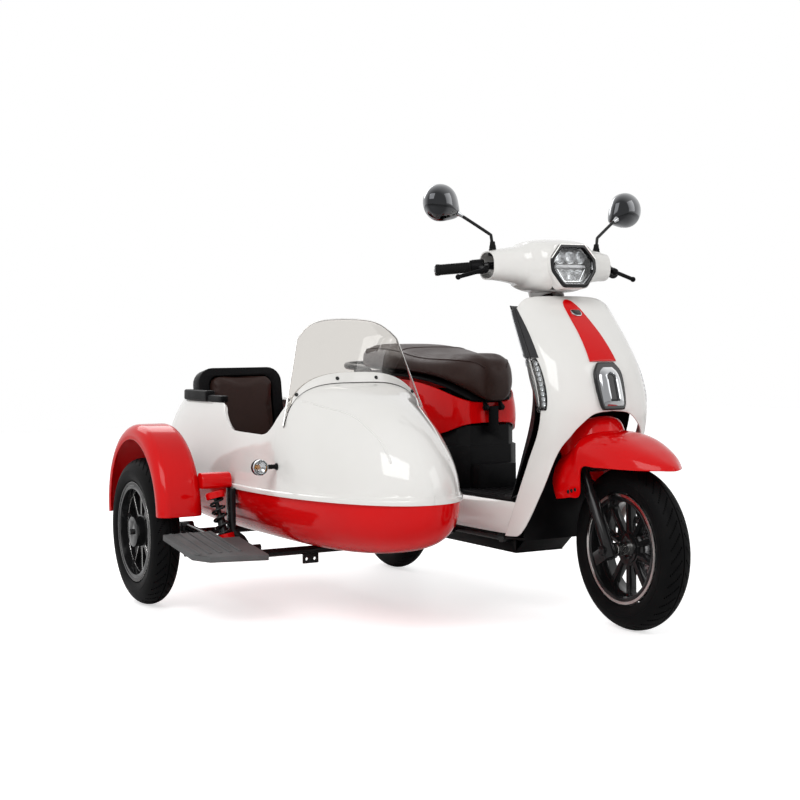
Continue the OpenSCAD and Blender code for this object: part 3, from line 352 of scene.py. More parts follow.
def mappedGrid(columns, rows, place):  # a grid moved point by point onto a surface
    bm = bmesh.new()
    bmesh.ops.create_grid(bm, x_segments=columns, y_segments=rows, size=0.5)
    for v in bm.verts:
        v.co = place(v.co.x + 0.5, v.co.y + 0.5)
    bmesh.ops.remove_doubles(bm, verts=bm.verts[:], dist=0.00002)
    return bm


def faceOut(bm, core):  # faces point away from the core
    bm.normal_update()
    if sum(f.normal.dot(f.calc_center_median() - core) * f.calc_area() for f in bm.faces) < 0:
        bmesh.ops.reverse_faces(bm, faces=bm.faces[:])
    return bm


def faceAhead(bm):
    bm.normal_update()
    if sum(f.normal.x for f in bm.faces) < 0:
        bmesh.ops.reverse_faces(bm, faces=bm.faces[:])
    return bm


def thicken(obj, wall, lip=0.0, angle=50):  # wall inwards, edges softened
    shell = obj.modifiers.new("wall", "SOLIDIFY")
    shell.thickness = wall / 1000
    shell.offset = -1
    if lip:
        soft = obj.modifiers.new("lip", "BEVEL")
        soft.width = lip / 1000
        soft.segments = 3
        soft.limit_method = "ANGLE"
        soft.angle_limit = math.radians(angle)
    return obj


def aim(start, end):  # frame at start with Z towards end
    return Matrix.Translation(start) @ (end - start).to_track_quat("Z", "Y").to_matrix().to_4x4()


def turned(profile, place, steps=48):  # radius and height pairs in millimetres
    bm = bmesh.new()
    ring = [bm.verts.new((r / 1000, 0, h / 1000)) for r, h in profile]
    line = [bm.edges.new(pair) for pair in zip(ring, ring[1:])]
    bmesh.ops.spin(bm, geom=ring + line, cent=(0, 0, 0), axis=(0, 0, 1), dvec=(0, 0, 0), angle=math.tau,
                   steps=steps, use_merge=True)
    bmesh.ops.remove_doubles(bm, verts=bm.verts[:], dist=0.000002)
    bmesh.ops.recalc_face_normals(bm, faces=bm.faces[:])
    bmesh.ops.transform(bm, matrix=place, verts=bm.verts[:])
    return bm


def joined(parts):  # several meshes as one
    whole = parts[0]
    for bm in parts[1:]:
        mesh = bpy.data.meshes.new("spare")
        bm.to_mesh(mesh)
        bm.free()
        whole.from_mesh(mesh)
        bpy.data.meshes.remove(mesh)
    return whole


def mirrorY(bm):  # both sides of the scooter's centre plane
    twin = bm.copy()
    bmesh.ops.transform(twin, matrix=Matrix.Translation((0, 2 * rearAxle.y, 0)) @ Matrix.Scale(-1, 4, (0, 1, 0)),
                        verts=twin.verts[:])
    bmesh.ops.reverse_faces(twin, faces=twin.faces[:])
    return joined([bm, twin])


def wire(points, radius, name, body, matName, closed=False):
    data = bpy.data.curves.new(name, "CURVE")
    data.dimensions = "3D"
    data.bevel_depth = radius / 1000
    data.bevel_resolution = 3
    line = data.splines.new("POLY")
    line.points.add(len(points) - 1)
    for p, co in zip(line.points, points):
        p.co = (*co, 1)
    line.use_cyclic_u = closed
    data.use_fill_caps = True
    data.materials.append(mats[matName])
    obj = bpy.data.objects.new(name, data)
    scene.collection.objects.link(obj)
    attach(obj, body)
    return obj


def outlineFace(points, radius, segments=4):  # flat rounded plate, millimetres
    bm = bmesh.new()
    bm.faces.new([bm.verts.new((a / 1000, b / 1000, 0)) for a, b in points])
    bmesh.ops.bevel(bm, geom=bm.verts[:], offset=radius / 1000, offset_type="OFFSET", segments=segments,
                    profile=0.5, affect="VERTICES", material=-1)
    return bm


def liftFaces(bm, faces, shift, scale=1.0):
    made = bmesh.ops.extrude_face_region(bm, geom=faces)
    verts = [g for g in made["geom"] if isinstance(g, bmesh.types.BMVert)]
    top = [g for g in made["geom"] if isinstance(g, bmesh.types.BMFace)]
    core = sum((v.co for v in verts), Vector()) / len(verts)
    for v in verts:
        v.co = core + (v.co - core) * scale
    bmesh.ops.translate(bm, vec=shift, verts=verts)
    return top


# rigid nodes: a copy with coplanar faces joined and its edges broken
rounded = {
    "frame": ("blackSteel", 0.0), "undertray": ("blackPlastic", 1.0), "battery_pack": ("batteryCase", 3.0),
    "lower_body": ("blackPlastic", 2.5), "storage_bin": ("blackPlastic", 1.5), "floorboard": ("blackPlastic", 1.5),
    "swing_arm": ("blackSteel", 0.8), "fork": ("blackSteel", 1.2), "front_caliper": ("greyAlloy", 1.5),
    "handlebar": ("blackSteel", 1.5), "controls": ("blackPlastic", 1.0), "dash": ("glossBlack", 3.0),
    "mirror_glass": ("mirrorSilver", 0.5), "front_hub": ("machinedAlloy", 1.5), "front_disc": ("discSteel", 0.5),
    "sidecar_frame": ("blackSteel", 1.0), "sidecar_arm": ("blackSteel", 1.0), "rear_fender": ("blackPlastic", 1.0),
    "seat_shell": ("blackPlastic", 5.0), "armrest": ("blackPlastic", 5.0), "step_plate": ("greyPlastic", 2.0),
    "rear_rim": ("glossBlack", 1.2), "saddle_pan": ("blackPlastic", 1.5), "dampers": ("blackSteel", 0.8),
    "tail_lamps": ("redLens", 3.0), "grab_rail": ("blackSteel", 0.0),
}


def roundOff(node, matName, width):
    bm = startFrom(node, flat=0.6)
    if width:
        softBevel(bm, hardEdges(bm, 32), width / 1000, 2)
    return addPiece(bm, node + "_trim", bodyOf[node], [matName], [node], 36)


for node, (matName, width) in rounded.items():
    roundOff(node, matName, width)
print("rigid pieces rounded:", len(rounded))

# red end cups of the sidecar's spring
cups = {"foot": (492, -786, 199), "head": (462, -806, 328),
        "profile": [(7, -1), (23, -1), (26, 2), (26, 17), (24.2, 17), (24.2, 9.2), (7, 9.2), (7, -1)]}


def makeCups():
    foot, head = spot(*cups["foot"]), spot(*cups["head"])
    ends = [turned(cups["profile"], aim(foot, head), 40), turned(cups["profile"], aim(head, foot), 40)]
    addPiece(joined(ends), "sidecar_spring_cups", bodyOf["dampers"], ["gloryRed"])


makeCups()

# moulded panels: a copy with its rims creased and subdivided
moulded = {
    "sills": ("pearlWhite", 2, 0.7), "inner_shield": ("blackPlastic", 2, 1.0), "rear_body": ("gloryRed", 2, 1.0),
    "coil_springs": ("glossBlack", 1, 0.5),
}


def mould(node, matName, levels, crease):
    bm = startFrom(node)
    layer = bm.edges.layers.float.new("crease_edge")
    for e in hardEdges(bm, 38):
        e[layer] = crease
    return subdivide(addPiece(bm, node + "_skin", bodyOf[node], [matName], [node], 38), levels)


for node, (matName, levels, crease) in moulded.items():
    mould(node, matName, levels, crease)
print("panels moulded:", len(moulded))

# deck that closes the tail behind the saddle
deck = {"from": -266, "to": -22, "front": 600, "tail": -272, "half": 152, "gap": 4.6, "height": 626.5, "crown": 5,
        "wall": 3, "lip": 1.0, "grid": 24}


def makeDeck():
    middle, reach = (deck["front"] + deck["tail"]) / 2, (deck["front"] - deck["tail"]) / 2 - deck["gap"]

    def deckPoint(a, b):
        x = deck["from"] + (deck["to"] - deck["from"]) * a
        share = min((middle - x) / (reach * 0.99), 1) ** (1 / 0.75)
        half = (deck["half"] - deck["gap"]) * 0.92 * max(1 - share * share, 0) ** 0.31
        side = 2 * b - 1
        return spot(x, half * side, deck["height"] + deck["crown"] * (1 - side ** 2))

    bm = faceOut(mappedGrid(deck["grid"], deck["grid"], deckPoint), spot(-140, 0, 500))
    panel = addPiece(bm, "tail_deck", bodyOf["rear_body"], ["gloryRed"], (), 40)
    thicken(panel, deck["wall"], deck["lip"])


makeDeck()
print("tail closed")

# wheels
tyre = {"outer": 206.5, "section": 41.0, "sweep": 122, "rows": 49, "steps": 240, "tread": 9, "sipeEvery": 6,
        "groove": 3.0, "sideRib": 17}


def makeTyre(node, centre):
    bm = bmesh.new()
    ring = tyre["outer"] - tyre["section"]
    arc = []
    for i in range(tyre["rows"] + 1):
        a = math.radians(-tyre["sweep"] + 2 * tyre["sweep"] * i / tyre["rows"])
        arc.append(bm.verts.new(centre + Vector((ring + tyre["section"] * math.cos(a),
                                                 tyre["section"] * math.sin(a), 0)) / 1000))
    line = [bm.edges.new(pair) for pair in zip(arc, arc[1:] + arc[:1])]
    bmesh.ops.spin(bm, geom=arc + line, cent=centre, axis=(0, 1, 0), dvec=(0, 0, 0), angle=math.tau,
                   steps=tyre["steps"], use_merge=True)
    bmesh.ops.remove_doubles(bm, verts=bm.verts[:], dist=0.000005)
    bmesh.ops.recalc_face_normals(bm, faces=bm.faces[:])
    cuts, ribs = [], []
    middle = tyre["rows"] // 2
    for f in bm.faces:
        c = (f.calc_center_median() - centre) * 1000
        lean = math.degrees(math.atan2(c.y, math.hypot(c.x, c.z) - ring))
        if abs(lean) > tyre["sweep"]:
            continue
        row = int((lean + tyre["sweep"]) / (2 * tyre["sweep"]) * tyre["rows"])
        step = int((math.atan2(c.z, c.x) / math.tau + 0.5) * tyre["steps"])
        off = abs(row - middle)
        if off == 0 or 2 <= off <= tyre["tread"] and (step + off) % tyre["sipeEvery"] == 0:
            cuts.append(f)
        elif off == tyre["sideRib"]:
            ribs.append(f)
    bmesh.ops.inset_region(bm, faces=cuts, thickness=0.0005, depth=-tyre["groove"] / 1000, use_even_offset=True)
    bmesh.ops.inset_region(bm, faces=ribs, thickness=0.0004, depth=-0.0007, use_even_offset=True)
    addPiece(bm, node + "_tread", bodyOf[node], ["tyreRubber"], [node], 40)


rim = {"bevel": 2.2, "edgeFrom": 132.5, "spokeFrom": 52, "spokeTo": 118, "spokeSide": 8}


def makeRim(node, centre, spokesBright):
    bm = startFrom(node, flat=0.6)
    for f in softBevel(bm, hardEdges(bm, 32), rim["bevel"] / 1000, 2):
        c = (f.calc_center_median() - centre) * 1000
        reach = math.hypot(c.x, c.z)
        onSpoke = rim["spokeFrom"] < reach < rim["spokeTo"] and abs(c.y) > rim["spokeSide"]
        if reach > rim["edgeFrom"] or spokesBright and onSpoke:
            f.material_index = 1
    addPiece(bm, node + "_face", bodyOf[node], ["glossBlack", "machinedAlloy"], [node], 36)


for node, centre in (("front_tyre", frontAxle), ("rear_tyre", rearAxle), ("sidecar_tyre", sideAxle)):
    makeTyre(node, centre)
makeRim("front_rim", frontAxle, False)
makeRim("sidecar_rim", sideAxle, True)
lip = {"inner": 131.5, "outer": 139.2, "side": 35.0, "proud": 0.9}


def makeLips(node, centre, finish):  # edges of a rim
    rings = []
    for turn in (90, -90):
        rings.append(turned([(lip["inner"], lip["side"] - 0.4), (lip["inner"] + 0.5, lip["side"] + lip["proud"]),
                             (lip["outer"] - 0.6, lip["side"] + lip["proud"]), (lip["outer"], lip["side"] - 0.4)],
                            Matrix.Translation(centre) @ Matrix.Rotation(math.radians(turn), 4, "X"), 120))
    addPiece(joined(rings), node + "_lips", bodyOf[node], [finish])


for node, centre, finish in (("front_rim", frontAxle, "machinedAlloy"), ("rear_rim", rearAxle, "machinedAlloy"),
                             ("sidecar_rim", sideAxle, "blackSteel")):
    makeLips(node, centre, finish)
print("wheels made")

# sidecar hull
hull = {"nose": 1140, "tail": 215, "mid": 520, "half": 238, "belt": 335, "keel": 181, "cowl": 628, "side": -505,
        "crownFrom": 690, "noseRise": 26, "wall": 11, "columns": 84, "rows": 60, "lowerWall": 7, "lowerRows": 44,
        "creaseSteps": 60, "creaseRadius": 3.0, "creaseSink": 1.9,
        "power": [(-200, 2.3), (400, 2.2), (610, 2.7), (715, 3.5), (850, 2.25), (1160, 2.0)],
        "crease": [(751, 168), (794, 149), (859, 118), (922, 99), (980, 90), (1024, 83), (1071, 81)],
        "lip": [(7, 0.4), (7, 9), (5.6, 11.5), (2.2, 13.5), (0.6, 20)],
        "rim": [(-400, 560), (198, 560), (222, 552), (245, 539), (290, 519), (333, 503), (360, 495), (390, 490),
                (450, 489), (604, 489), (625, 491.5), (640, 496), (657, 505), (672, 518), (688, 541), (702, 566),
                (708, 584), (711, 600), (712, 700)]}


def oval(share, power):
    return max(1 - max(share, 0) ** power, 0) ** (1 / power)


def hullShare(x):
    if x > hull["mid"]:
        return (x - hull["mid"]) / (hull["nose"] - hull["mid"])
    return (hull["mid"] - x) / (hull["mid"] + hull["tail"])


def hullHalf(x):
    return hull["half"] * oval(hullShare(x), 2.05 if x > hull["mid"] else 8)


def hullCrown(x):
    low = hull["belt"] + hull["noseRise"]
    start = hull["crownFrom"]
    return low + (hull["cowl"] - low) * (oval((x - start) / (hull["nose"] - start), 1.75) if x > start else 1)


def hullAlong(u):
    if u < 0.5:
        return hull["mid"] - (hull["mid"] + hull["tail"]) * math.cos(u * math.pi) ** 0.5
    return hull["mid"] + (hull["nose"] - hull["mid"]) * math.sin((u - 0.5) * math.pi)


def hullHeight(x, y):
    n = readTable(hull["power"], x)
    share = min(abs(y) / max(hullHalf(x), 0.1), 1)
    return hull["belt"] + (hullCrown(x) - hull["belt"]) * max(1 - share ** n, 0) ** (1 / n)


def hullSide(x, z):
    n = readTable(hull["power"], x)
    return hullHalf(x) * (1 - ((z - hull["belt"]) / (hullCrown(x) - hull["belt"])) ** n) ** (1 / n)


def upperPoint(u, v):
    x, rows, belt = hullAlong(u), hull["rows"], hull["lip"]
    half, crown, n = max(hullHalf(x), 0.2), hullCrown(x), readTable(hull["power"], x)
    k = min(half / 40, 1)
    row = round(v * rows)
    edge = min(row, rows - row)
    sign = -1 if row < rows / 2 else 1
    if edge < len(belt):
        out, rise = belt[edge]
        return spot(x, hull["side"] + sign * (half + out * k), hull["belt"] + rise)
    turn = math.pi * (1 - (row - len(belt) + 1) / (rows - 2 * len(belt) + 2))
    z = hull["belt"] + (crown - hull["belt"]) * bent(math.sin(turn), 2 / n)
    return spot(x, hull["side"] + half * bent(math.cos(turn), 2 / n), max(z, hull["belt"] + 21))


def cutCockpit(bm):  # along the rim's line, slab by slab
    line = hull["rim"]
    for (x0, z0), (x1, z1) in zip(line, line[1:]):
        bmesh.ops.bisect_plane(bm, geom=bm.verts[:] + bm.edges[:] + bm.faces[:], dist=0.000002,
                               plane_co=spot(x1, 0, 0), plane_no=(1, 0, 0))
        slab = [f for f in bm.faces if spot(x0, 0, 0).x < f.calc_center_median().x < spot(x1, 0, 0).x]
        near = slab + list({e for f in slab for e in f.edges}) + list({v for f in slab for v in f.verts})
        bmesh.ops.bisect_plane(bm, geom=near, dist=0.000002, plane_co=spot(x0, 0, z0),
                               plane_no=(z0 - z1, 0, x1 - x0))
    gone = []
    for f in bm.faces:
        c = f.calc_center_median()
        x = (c.x - rearAxle.x) * 1000
        for (x0, z0), (x1, z1) in zip(line, line[1:]):
            if x0 <= x < x1 and c.z * 1000 > z0 + (z1 - z0) * (x - x0) / (x1 - x0):
                gone.append(f)
    bmesh.ops.delete(bm, geom=gone, context="FACES")


def lowerPoint(u, v):
    x = hullAlong(u)
    half = max(hullHalf(x), 0.2)
    depth = max((hull["belt"] - hull["keel"]) * oval(hullShare(x), 3.2 if x > hull["mid"] else 5), 0.5)
    turn = math.pi * (1 + v)
    return spot(x, hull["side"] + half * bent(math.cos(turn), 0.86), hull["belt"] + depth * bent(math.sin(turn), 0.86))


def makeHull():
    bm = mappedGrid(hull["columns"], hull["rows"], upperPoint)
    faceOut(bm, spot(450, hull["side"], hull["belt"]))
    cutCockpit(bm)
    thicken(addPiece(bm, "hull_upper_skin", "chassis", ["pearlWhite"], ["hull_upper"], 34),
            hull["wall"], 3.0)
    bm = mappedGrid(hull["columns"], hull["lowerRows"], lowerPoint)
    faceOut(bm, spot(450, hull["side"], hull["belt"] + 60))
    thicken(addPiece(bm, "hull_lower_skin", "chassis", ["gloryRed"], ["hull_lower"], 34),
            hull["lowerWall"], 1.5)


def makeCrease():  # raised line down each shoulder of the cowl
    line, steps = hull["crease"], hull["creaseSteps"]
    for sign, label in ((-1, "right"), (1, "left")):
        points = []
        for k in range(steps + 1):
            x = line[0][0] + (line[-1][0] - line[0][0]) * k / steps
            y = sign * readTable(line, x)
            points.append(spot(x, hull["side"] + y, hullHeight(x, y) - hull["creaseSink"]))
        wire(points, hull["creaseRadius"], "hull_crease_" + label, "chassis", "pearlWhite")


makeHull()
makeCrease()
print("hull made")

# windscreen, its flange and screws
screen = {"foot": (741, 624), "lean": 0.42, "topHalf": 147, "top": 794, "flange": 27, "gap": 5.2, "cover": 1.6,
          "flangeShare": 0.943, "columns": 56, "screws": (-0.9, -0.32, 0.32, 0.9), "screwRise": 13,
          "screwHead": [(0, 2.6), (1.6, 2.6), (1.8, 1.4), (2.6, 1.4), (2.8, 3.0), (4.0, 2.6), (5.2, 1.0), (5.4, -0.5)]}


def screenAt(u, z, back):
    half = screen["topHalf"] + (screen["top"] - 46 - z) * 0.29
    sweep = max(6, 24 + (657 - z) * 0.2)
    x = screen["foot"][0] - (z - screen["foot"][1]) * screen["lean"] - sweep * u * u - back
    return x, u * half, z


def screenTop(u):
    return screen["top"] - 14 * u * u - 40 * abs(u) ** 6


def screenBase(u, back):  # where the sheet meets the hull
    z = 600
    for step in range(8):
        x, y, z = screenAt(u, z, back)
        z = z * 0.3 + hullHeight(x, y) * 0.7
    return z


def makeScreen():
    def glassPoint(a, b):
        u = 2 * a - 1
        low, high = screenBase(u, 0) + 1, screenTop(u)
        x, y, z = screenAt(u, low + (high - low) * b, 0)
        return spot(x, y + hull["side"], z)

    def flangePoint(a, b):
        u = (2 * a - 1) * screen["flangeShare"]
        rise = b * screen["flange"] * (1 - 0.4 * u * u)
        x, y, z = screenAt(u, screenBase(u, screen["gap"]) + 0.5 + rise, screen["gap"])
        return spot(x, y + hull["side"], z)

    def coverPoint(a, b):
        u = (2 * a - 1) * screen["flangeShare"]
        x, y, z = screenAt(u, screenBase(u, 0) + 1.2 + b * screen["flange"] * (1 - 0.4 * u * u), -screen["cover"])
        return spot(x, y + hull["side"], z)

    core, columns = spot(0, hull["side"], 500), screen["columns"]
    bm = faceOut(mappedGrid(columns, 32, glassPoint), core)
    thicken(addPiece(bm, "windscreen_glass", "chassis", ["screenGlass"], ["windscreen"], 40), 4, 1.4)
    bm = faceOut(mappedGrid(columns, 8, flangePoint), core)
    thicken(addPiece(bm, "windscreen_flange", "chassis", ["pearlWhite"], ["screen_flange"], 40), 5, 1.8)
    bm = faceOut(mappedGrid(columns, 8, coverPoint), core)
    cover = addPiece(bm, "windscreen_cover", "chassis", ["pearlWhite"], (), 40)
    thicken(cover, screen["cover"] - 0.2, 0.5)
    heads, seat = [], Vector((1, 0, 0.4)).normalized()
    for u in screen["screws"]:
        x, y, z = screenAt(u, screenBase(u, 0) + screen["screwRise"], -screen["cover"])
        point = spot(x, y + hull["side"], z)
        heads.append(turned(screen["screwHead"], aim(point, point + seat), 20))
    addPiece(joined(heads), "windscreen_screws", "chassis", ["glossBlack"])
    foot = [spot(x, y + hull["side"], z + 0.4) for x, y, z in
            (screenAt(u, screenBase(u, 0) + 0.6, -0.6) for u in [i / 40 - 1 for i in range(81)])]
    wire(foot, 0.8, "windscreen_gasket", "chassis", "blackPlastic")
    edge = []
    for k in range(121):  # up one side, over the top, down the other
        t = k / 120
        u = -1 if t < 0.25 else 1 if t > 0.75 else (t - 0.5) * 4
        low, high = screenBase(u, 0) + 6, screenTop(u)
        x, y, z = screenAt(u, low + (high - low) * min(t * 4, 1, (1 - t) * 4), 2)
        edge.append(spot(x, y + hull["side"], z))
    wire(edge, 2.1, "windscreen_edge", "chassis", "machinedAlloy")


makeScreen()
print("windscreen made")

# wheel guard of the sidecar: one spun section
guard = {"centre": (225, -898, 266.5), "outer": 242, "half": 62, "round": 30, "deep": 42, "turn": 186, "wall": 3.0,
         "arm": [(0, 344), (6, 338), (36, 338), (42, 344), (42, 366), (34, 378), (20, 382), (6, 380), (0, 372)],
         "armAt": (424, -755, 0), "armLong": 85}


def makeGuard():
    r, half, low = guard["round"], guard["half"], guard["outer"] - guard["deep"]
    section = [(low, -half)]
    for side, start in ((-1, -90), (1, 0)):
        for step in range(10):
            t = math.radians(start + 10 * step)
            section.append((guard["outer"] - r + r * math.cos(t), side * (half - r) + r * math.sin(t)))
    section.append((low, half))
    centre = spot(*guard["centre"])
    bm = bmesh.new()
    ring = [bm.verts.new(centre + Vector((a, b, 0)) / 1000) for a, b in section]
    line = [bm.edges.new(pair) for pair in zip(ring, ring[1:])]
    bmesh.ops.spin(bm, geom=ring + line, cent=centre, axis=(0, -1, 0), dvec=(0, 0, 0),
                   angle=math.radians(guard["turn"]), steps=72)
    faceOut(bm, centre)
    thicken(addPiece(bm, "sidecar_fender_shell", "chassis", ["gloryRed"], ["sidecar_fender"], 50),
            guard["wall"], 1.2, 60)
    bm = outlineFace(guard["arm"], 3, 2)
    liftFaces(bm, bm.faces[:], (0, 0, guard["armLong"] / 1000))
    place = Matrix.Translation(spot(*guard["armAt"])) @ Matrix.Rotation(math.radians(90), 4, "X")
    bmesh.ops.transform(bm, matrix=place, verts=bm.verts[:])
    bmesh.ops.recalc_face_normals(bm, faces=bm.faces[:])
    softBevel(bm, hardEdges(bm, 60), 0.003, 3)
    addPiece(bm, "sidecar_fender_arm", "chassis", ["gloryRed"], (), 36)


makeGuard()
print("guard made")

# leg shield; u runs from the centre to the edge
frontX = (frontAxle.x - rearAxle.x) * 1000 - 1250
shield = {"half": 160, "wall": 3.6, "columns": 72, "rows": 48,
          "table": [(200, 1120, 915, 8), (222, 1130, 930, 8), (330, 1150, 985, 5), (430, 1160, 1036, 1),
                    (490, 1174, 1070, 0), (548, 1176, 1086, 0), (600, 1164, 1080, 0), (673, 1137, 1046, -2),
                    (740, 1084, 1004, -5), (800, 1018, 965, -9), (828, 984, 948, -13), (850, 956, 932, -22)],
          "arch": [(0, 549), (0.35, 541), (0.58, 512), (0.69, 488), (0.82, 440), (0.91, 330), (0.97, 226), (1, 214)],
          "crest": [(0, 849), (0.5, 848), (0.8, 843), (0.94, 830), (1, 816)]}
tongue = {"low": 676, "high": 839, "proud": 4,
          "width": [(676, 40), (740, 33), (800, 25), (822, 20), (834, 13), (839, 4)],
          "badge": [(-15, 12), (15, 12), (16, -2), (9, -13), (-9, -13), (-16, -2)], "badgeHeight": 801}
grille = {"low": 552, "high": 674, "proud": 12, "width": [(552, 30), (566, 36), (620, 41), (652, 38), (674, 24)],
          "blockLow": 562, "blockHigh": 660, "block": [(562, 27), (575, 30), (630, 30), (650, 24), (660, 13)],
          "slotHalf": 13, "slotLow": 574, "slotHigh": 648, "rise": 9}


def shieldHalf(z):
    return shield["half"] + readTable(shield["table"], z, 3)


def shieldEdge(z):
    return frontX + readTable(shield["table"], z, 2)


def shieldAt(u, z, inset):
    edge, front = shieldEdge(z), frontX + readTable(shield["table"], z, 1) - inset
    return spot(edge + (front - edge) * max(1 - abs(u) ** 2.3, 0) ** 0.4348, (shieldHalf(z) - inset) * u, z)


def makeShield():
    def panelPoint(a, b):
        u = bent(math.sin((2 * a - 1) * math.pi / 2), 0.9)
        high, low = readTable(shield["crest"], abs(u)), readTable(shield["arch"], abs(u))
        return shieldAt(u, high + (low - high) * b, 0)

    def tonguePoint(a, b):
        z = tongue["low"] + (tongue["high"] - tongue["low"]) * math.sin(b * math.pi / 2)
        half = readTable(tongue["width"], z)
        return shieldAt(half * (2 * a - 1) / shieldHalf(z), z, -tongue["proud"])

    core = spot(800, 0, 600)
    bm = faceOut(mappedGrid(shield["columns"], shield["rows"], panelPoint), core)
    thicken(addPiece(bm, "leg_shield_panel", "chassis", ["pearlWhite"], ["leg_shield"], 40),
            shield["wall"], 1.5)
    bm = faceOut(mappedGrid(20, 48, tonguePoint), core)
    thicken(addPiece(bm, "shield_tongue", "chassis", ["gloryRed"], ["shield_stripe"], 40),
            tongue["proud"] - 0.6, 1.6)
    # blank badge with a bright rim
    z = tongue["badgeHeight"]
    here, above = shieldAt(0, z, -tongue["proud"]), shieldAt(0, z + 10, -tongue["proud"])
    rise = (above - here).normalized()
    side = Vector((0, 1, 0))
    place = Matrix((side, rise, side.cross(rise))).transposed().to_4x4()
    bm = outlineFace(tongue["badge"], 4, 4)
    top = liftFaces(bm, bm.faces[:], (0, 0, 0.0026))
    bmesh.ops.inset_region(bm, faces=top, thickness=0.0018, depth=-0.0008, use_even_offset=True)
    for f in top:
        f.material_index = 1
    bmesh.ops.transform(bm, matrix=Matrix.Translation(here) @ place, verts=bm.verts[:])
    bmesh.ops.recalc_face_normals(bm, faces=bm.faces[:])
    softBevel(bm, hardEdges(bm, 50), 0.0005, 2)
    addPiece(bm, "shield_badge", "chassis", ["chrome", "glossBlack"])


def makeGrille():
    def housingPoint(a, b):
        z = grille["low"] + (grille["high"] - grille["low"]) * b
        half = readTable(grille["width"], z)
        return shieldAt(half * (2 * a - 1) / shieldHalf(z), z, -grille["proud"])

    def blockPoint(a, b):
        z = grille["blockLow"] + (grille["blockHigh"] - grille["blockLow"]) * b
        half, u = readTable(grille["block"], z), 2 * a - 1
        swell = grille["rise"] * (1 - u ** 4) * (1 - abs(2 * b - 1) ** 5)
        return shieldAt(half * u / shieldHalf(z), z, -grille["proud"] - swell)

    core = spot(800, 0, 600)
    bm = faceOut(mappedGrid(16, 28, housingPoint), core)
    thicken(addPiece(bm, "grille_housing", "chassis", ["glossBlack"], ["shield_grille"], 40),
            grille["proud"] - 0.6, 3.0)
    bm = faceOut(mappedGrid(34, 42, blockPoint), core)
    opening = []
    for f in bm.faces:
        c = (f.calc_center_median() - rearAxle) * 1000
        height = c.z + rearAxle.z * 1000
        half = grille["slotHalf"] * min(1, max(grille["slotHigh"] - height, 0) / 9) ** 0.5
        if abs(c.y) < half and height > grille["slotLow"]:
            opening.append(f)
    bmesh.ops.inset_region(bm, faces=opening, thickness=0.0012, depth=-0.0055, use_even_offset=True)
    for f in opening:
        f.material_index = 1
    addPiece(bm, "grille_block", "chassis", ["chrome", "glossBlack"], (), 40)


# strips along the shield's edges: trim above, indicator below
strip = {"split": 685, "top": 812, "foot": 546, "cups": 9, "cupRadius": 4.6, "face": 0.034}


def stripRing(z, wide):
    edge, half = shieldEdge(z), shieldHalf(z)
    return [(edge - 1.9, half - 8), (edge - 1.9, half), (edge - wide * 0.5, half + 4), (edge - wide, half - 1),
            (edge - wide, half - 8)]


def stripWide(z):
    if z > strip["split"]:
        return 30 - 9 * (z - strip["split"]) / (strip["top"] - strip["split"])
    return 14 + 20 * math.sin(math.radians(150 * (z - strip["foot"]) / (strip["split"] - strip["foot"])))


def makeStrip(low, high, name, node, matName, rows=36):
    bm = bmesh.new()
    rings = []
    for k in range(rows + 1):
        z = low + (high - low) * k / rows
        rings.append([bm.verts.new(spot(x, y, z)) for x, y in stripRing(z, stripWide(z))])
    count = len(rings[0])
    for near, far in zip(rings, rings[1:]):
        for i in range(count):
            bm.faces.new((near[i], near[(i + 1) % count], far[(i + 1) % count], far[i]))
    bm.faces.new(rings[0])
    bm.faces.new(rings[-1])
    bmesh.ops.recalc_face_normals(bm, faces=bm.faces[:])
    softBevel(bm, hardEdges(bm, 20), 0.0018, 3)
    addPiece(mirrorY(bm), name, "chassis", [matName], [node], 40)


def makeTrimFace(low, high, wide, lift, name, matName):  # the part that shows from the front
    def facePoint(a, b):
        taper = (1 - b ** 3) * 0.9 + 0.1
        if low < strip["split"]:
            taper = math.sin(math.pi * (0.06 + 0.88 * b)) ** 0.4
        swell = 0.35 + 0.65 * math.sin(math.pi * (0.15 + 0.7 * a))
        return shieldAt(1 - wide * taper * (1 - a) ** 1.6, low + (high - low) * b, -lift * swell)

    bm = mirrorY(faceOut(mappedGrid(10, 40, facePoint), spot(900, 0, 700)))
    thicken(addPiece(bm, name, "chassis", [matName], (), 50), 0.7)


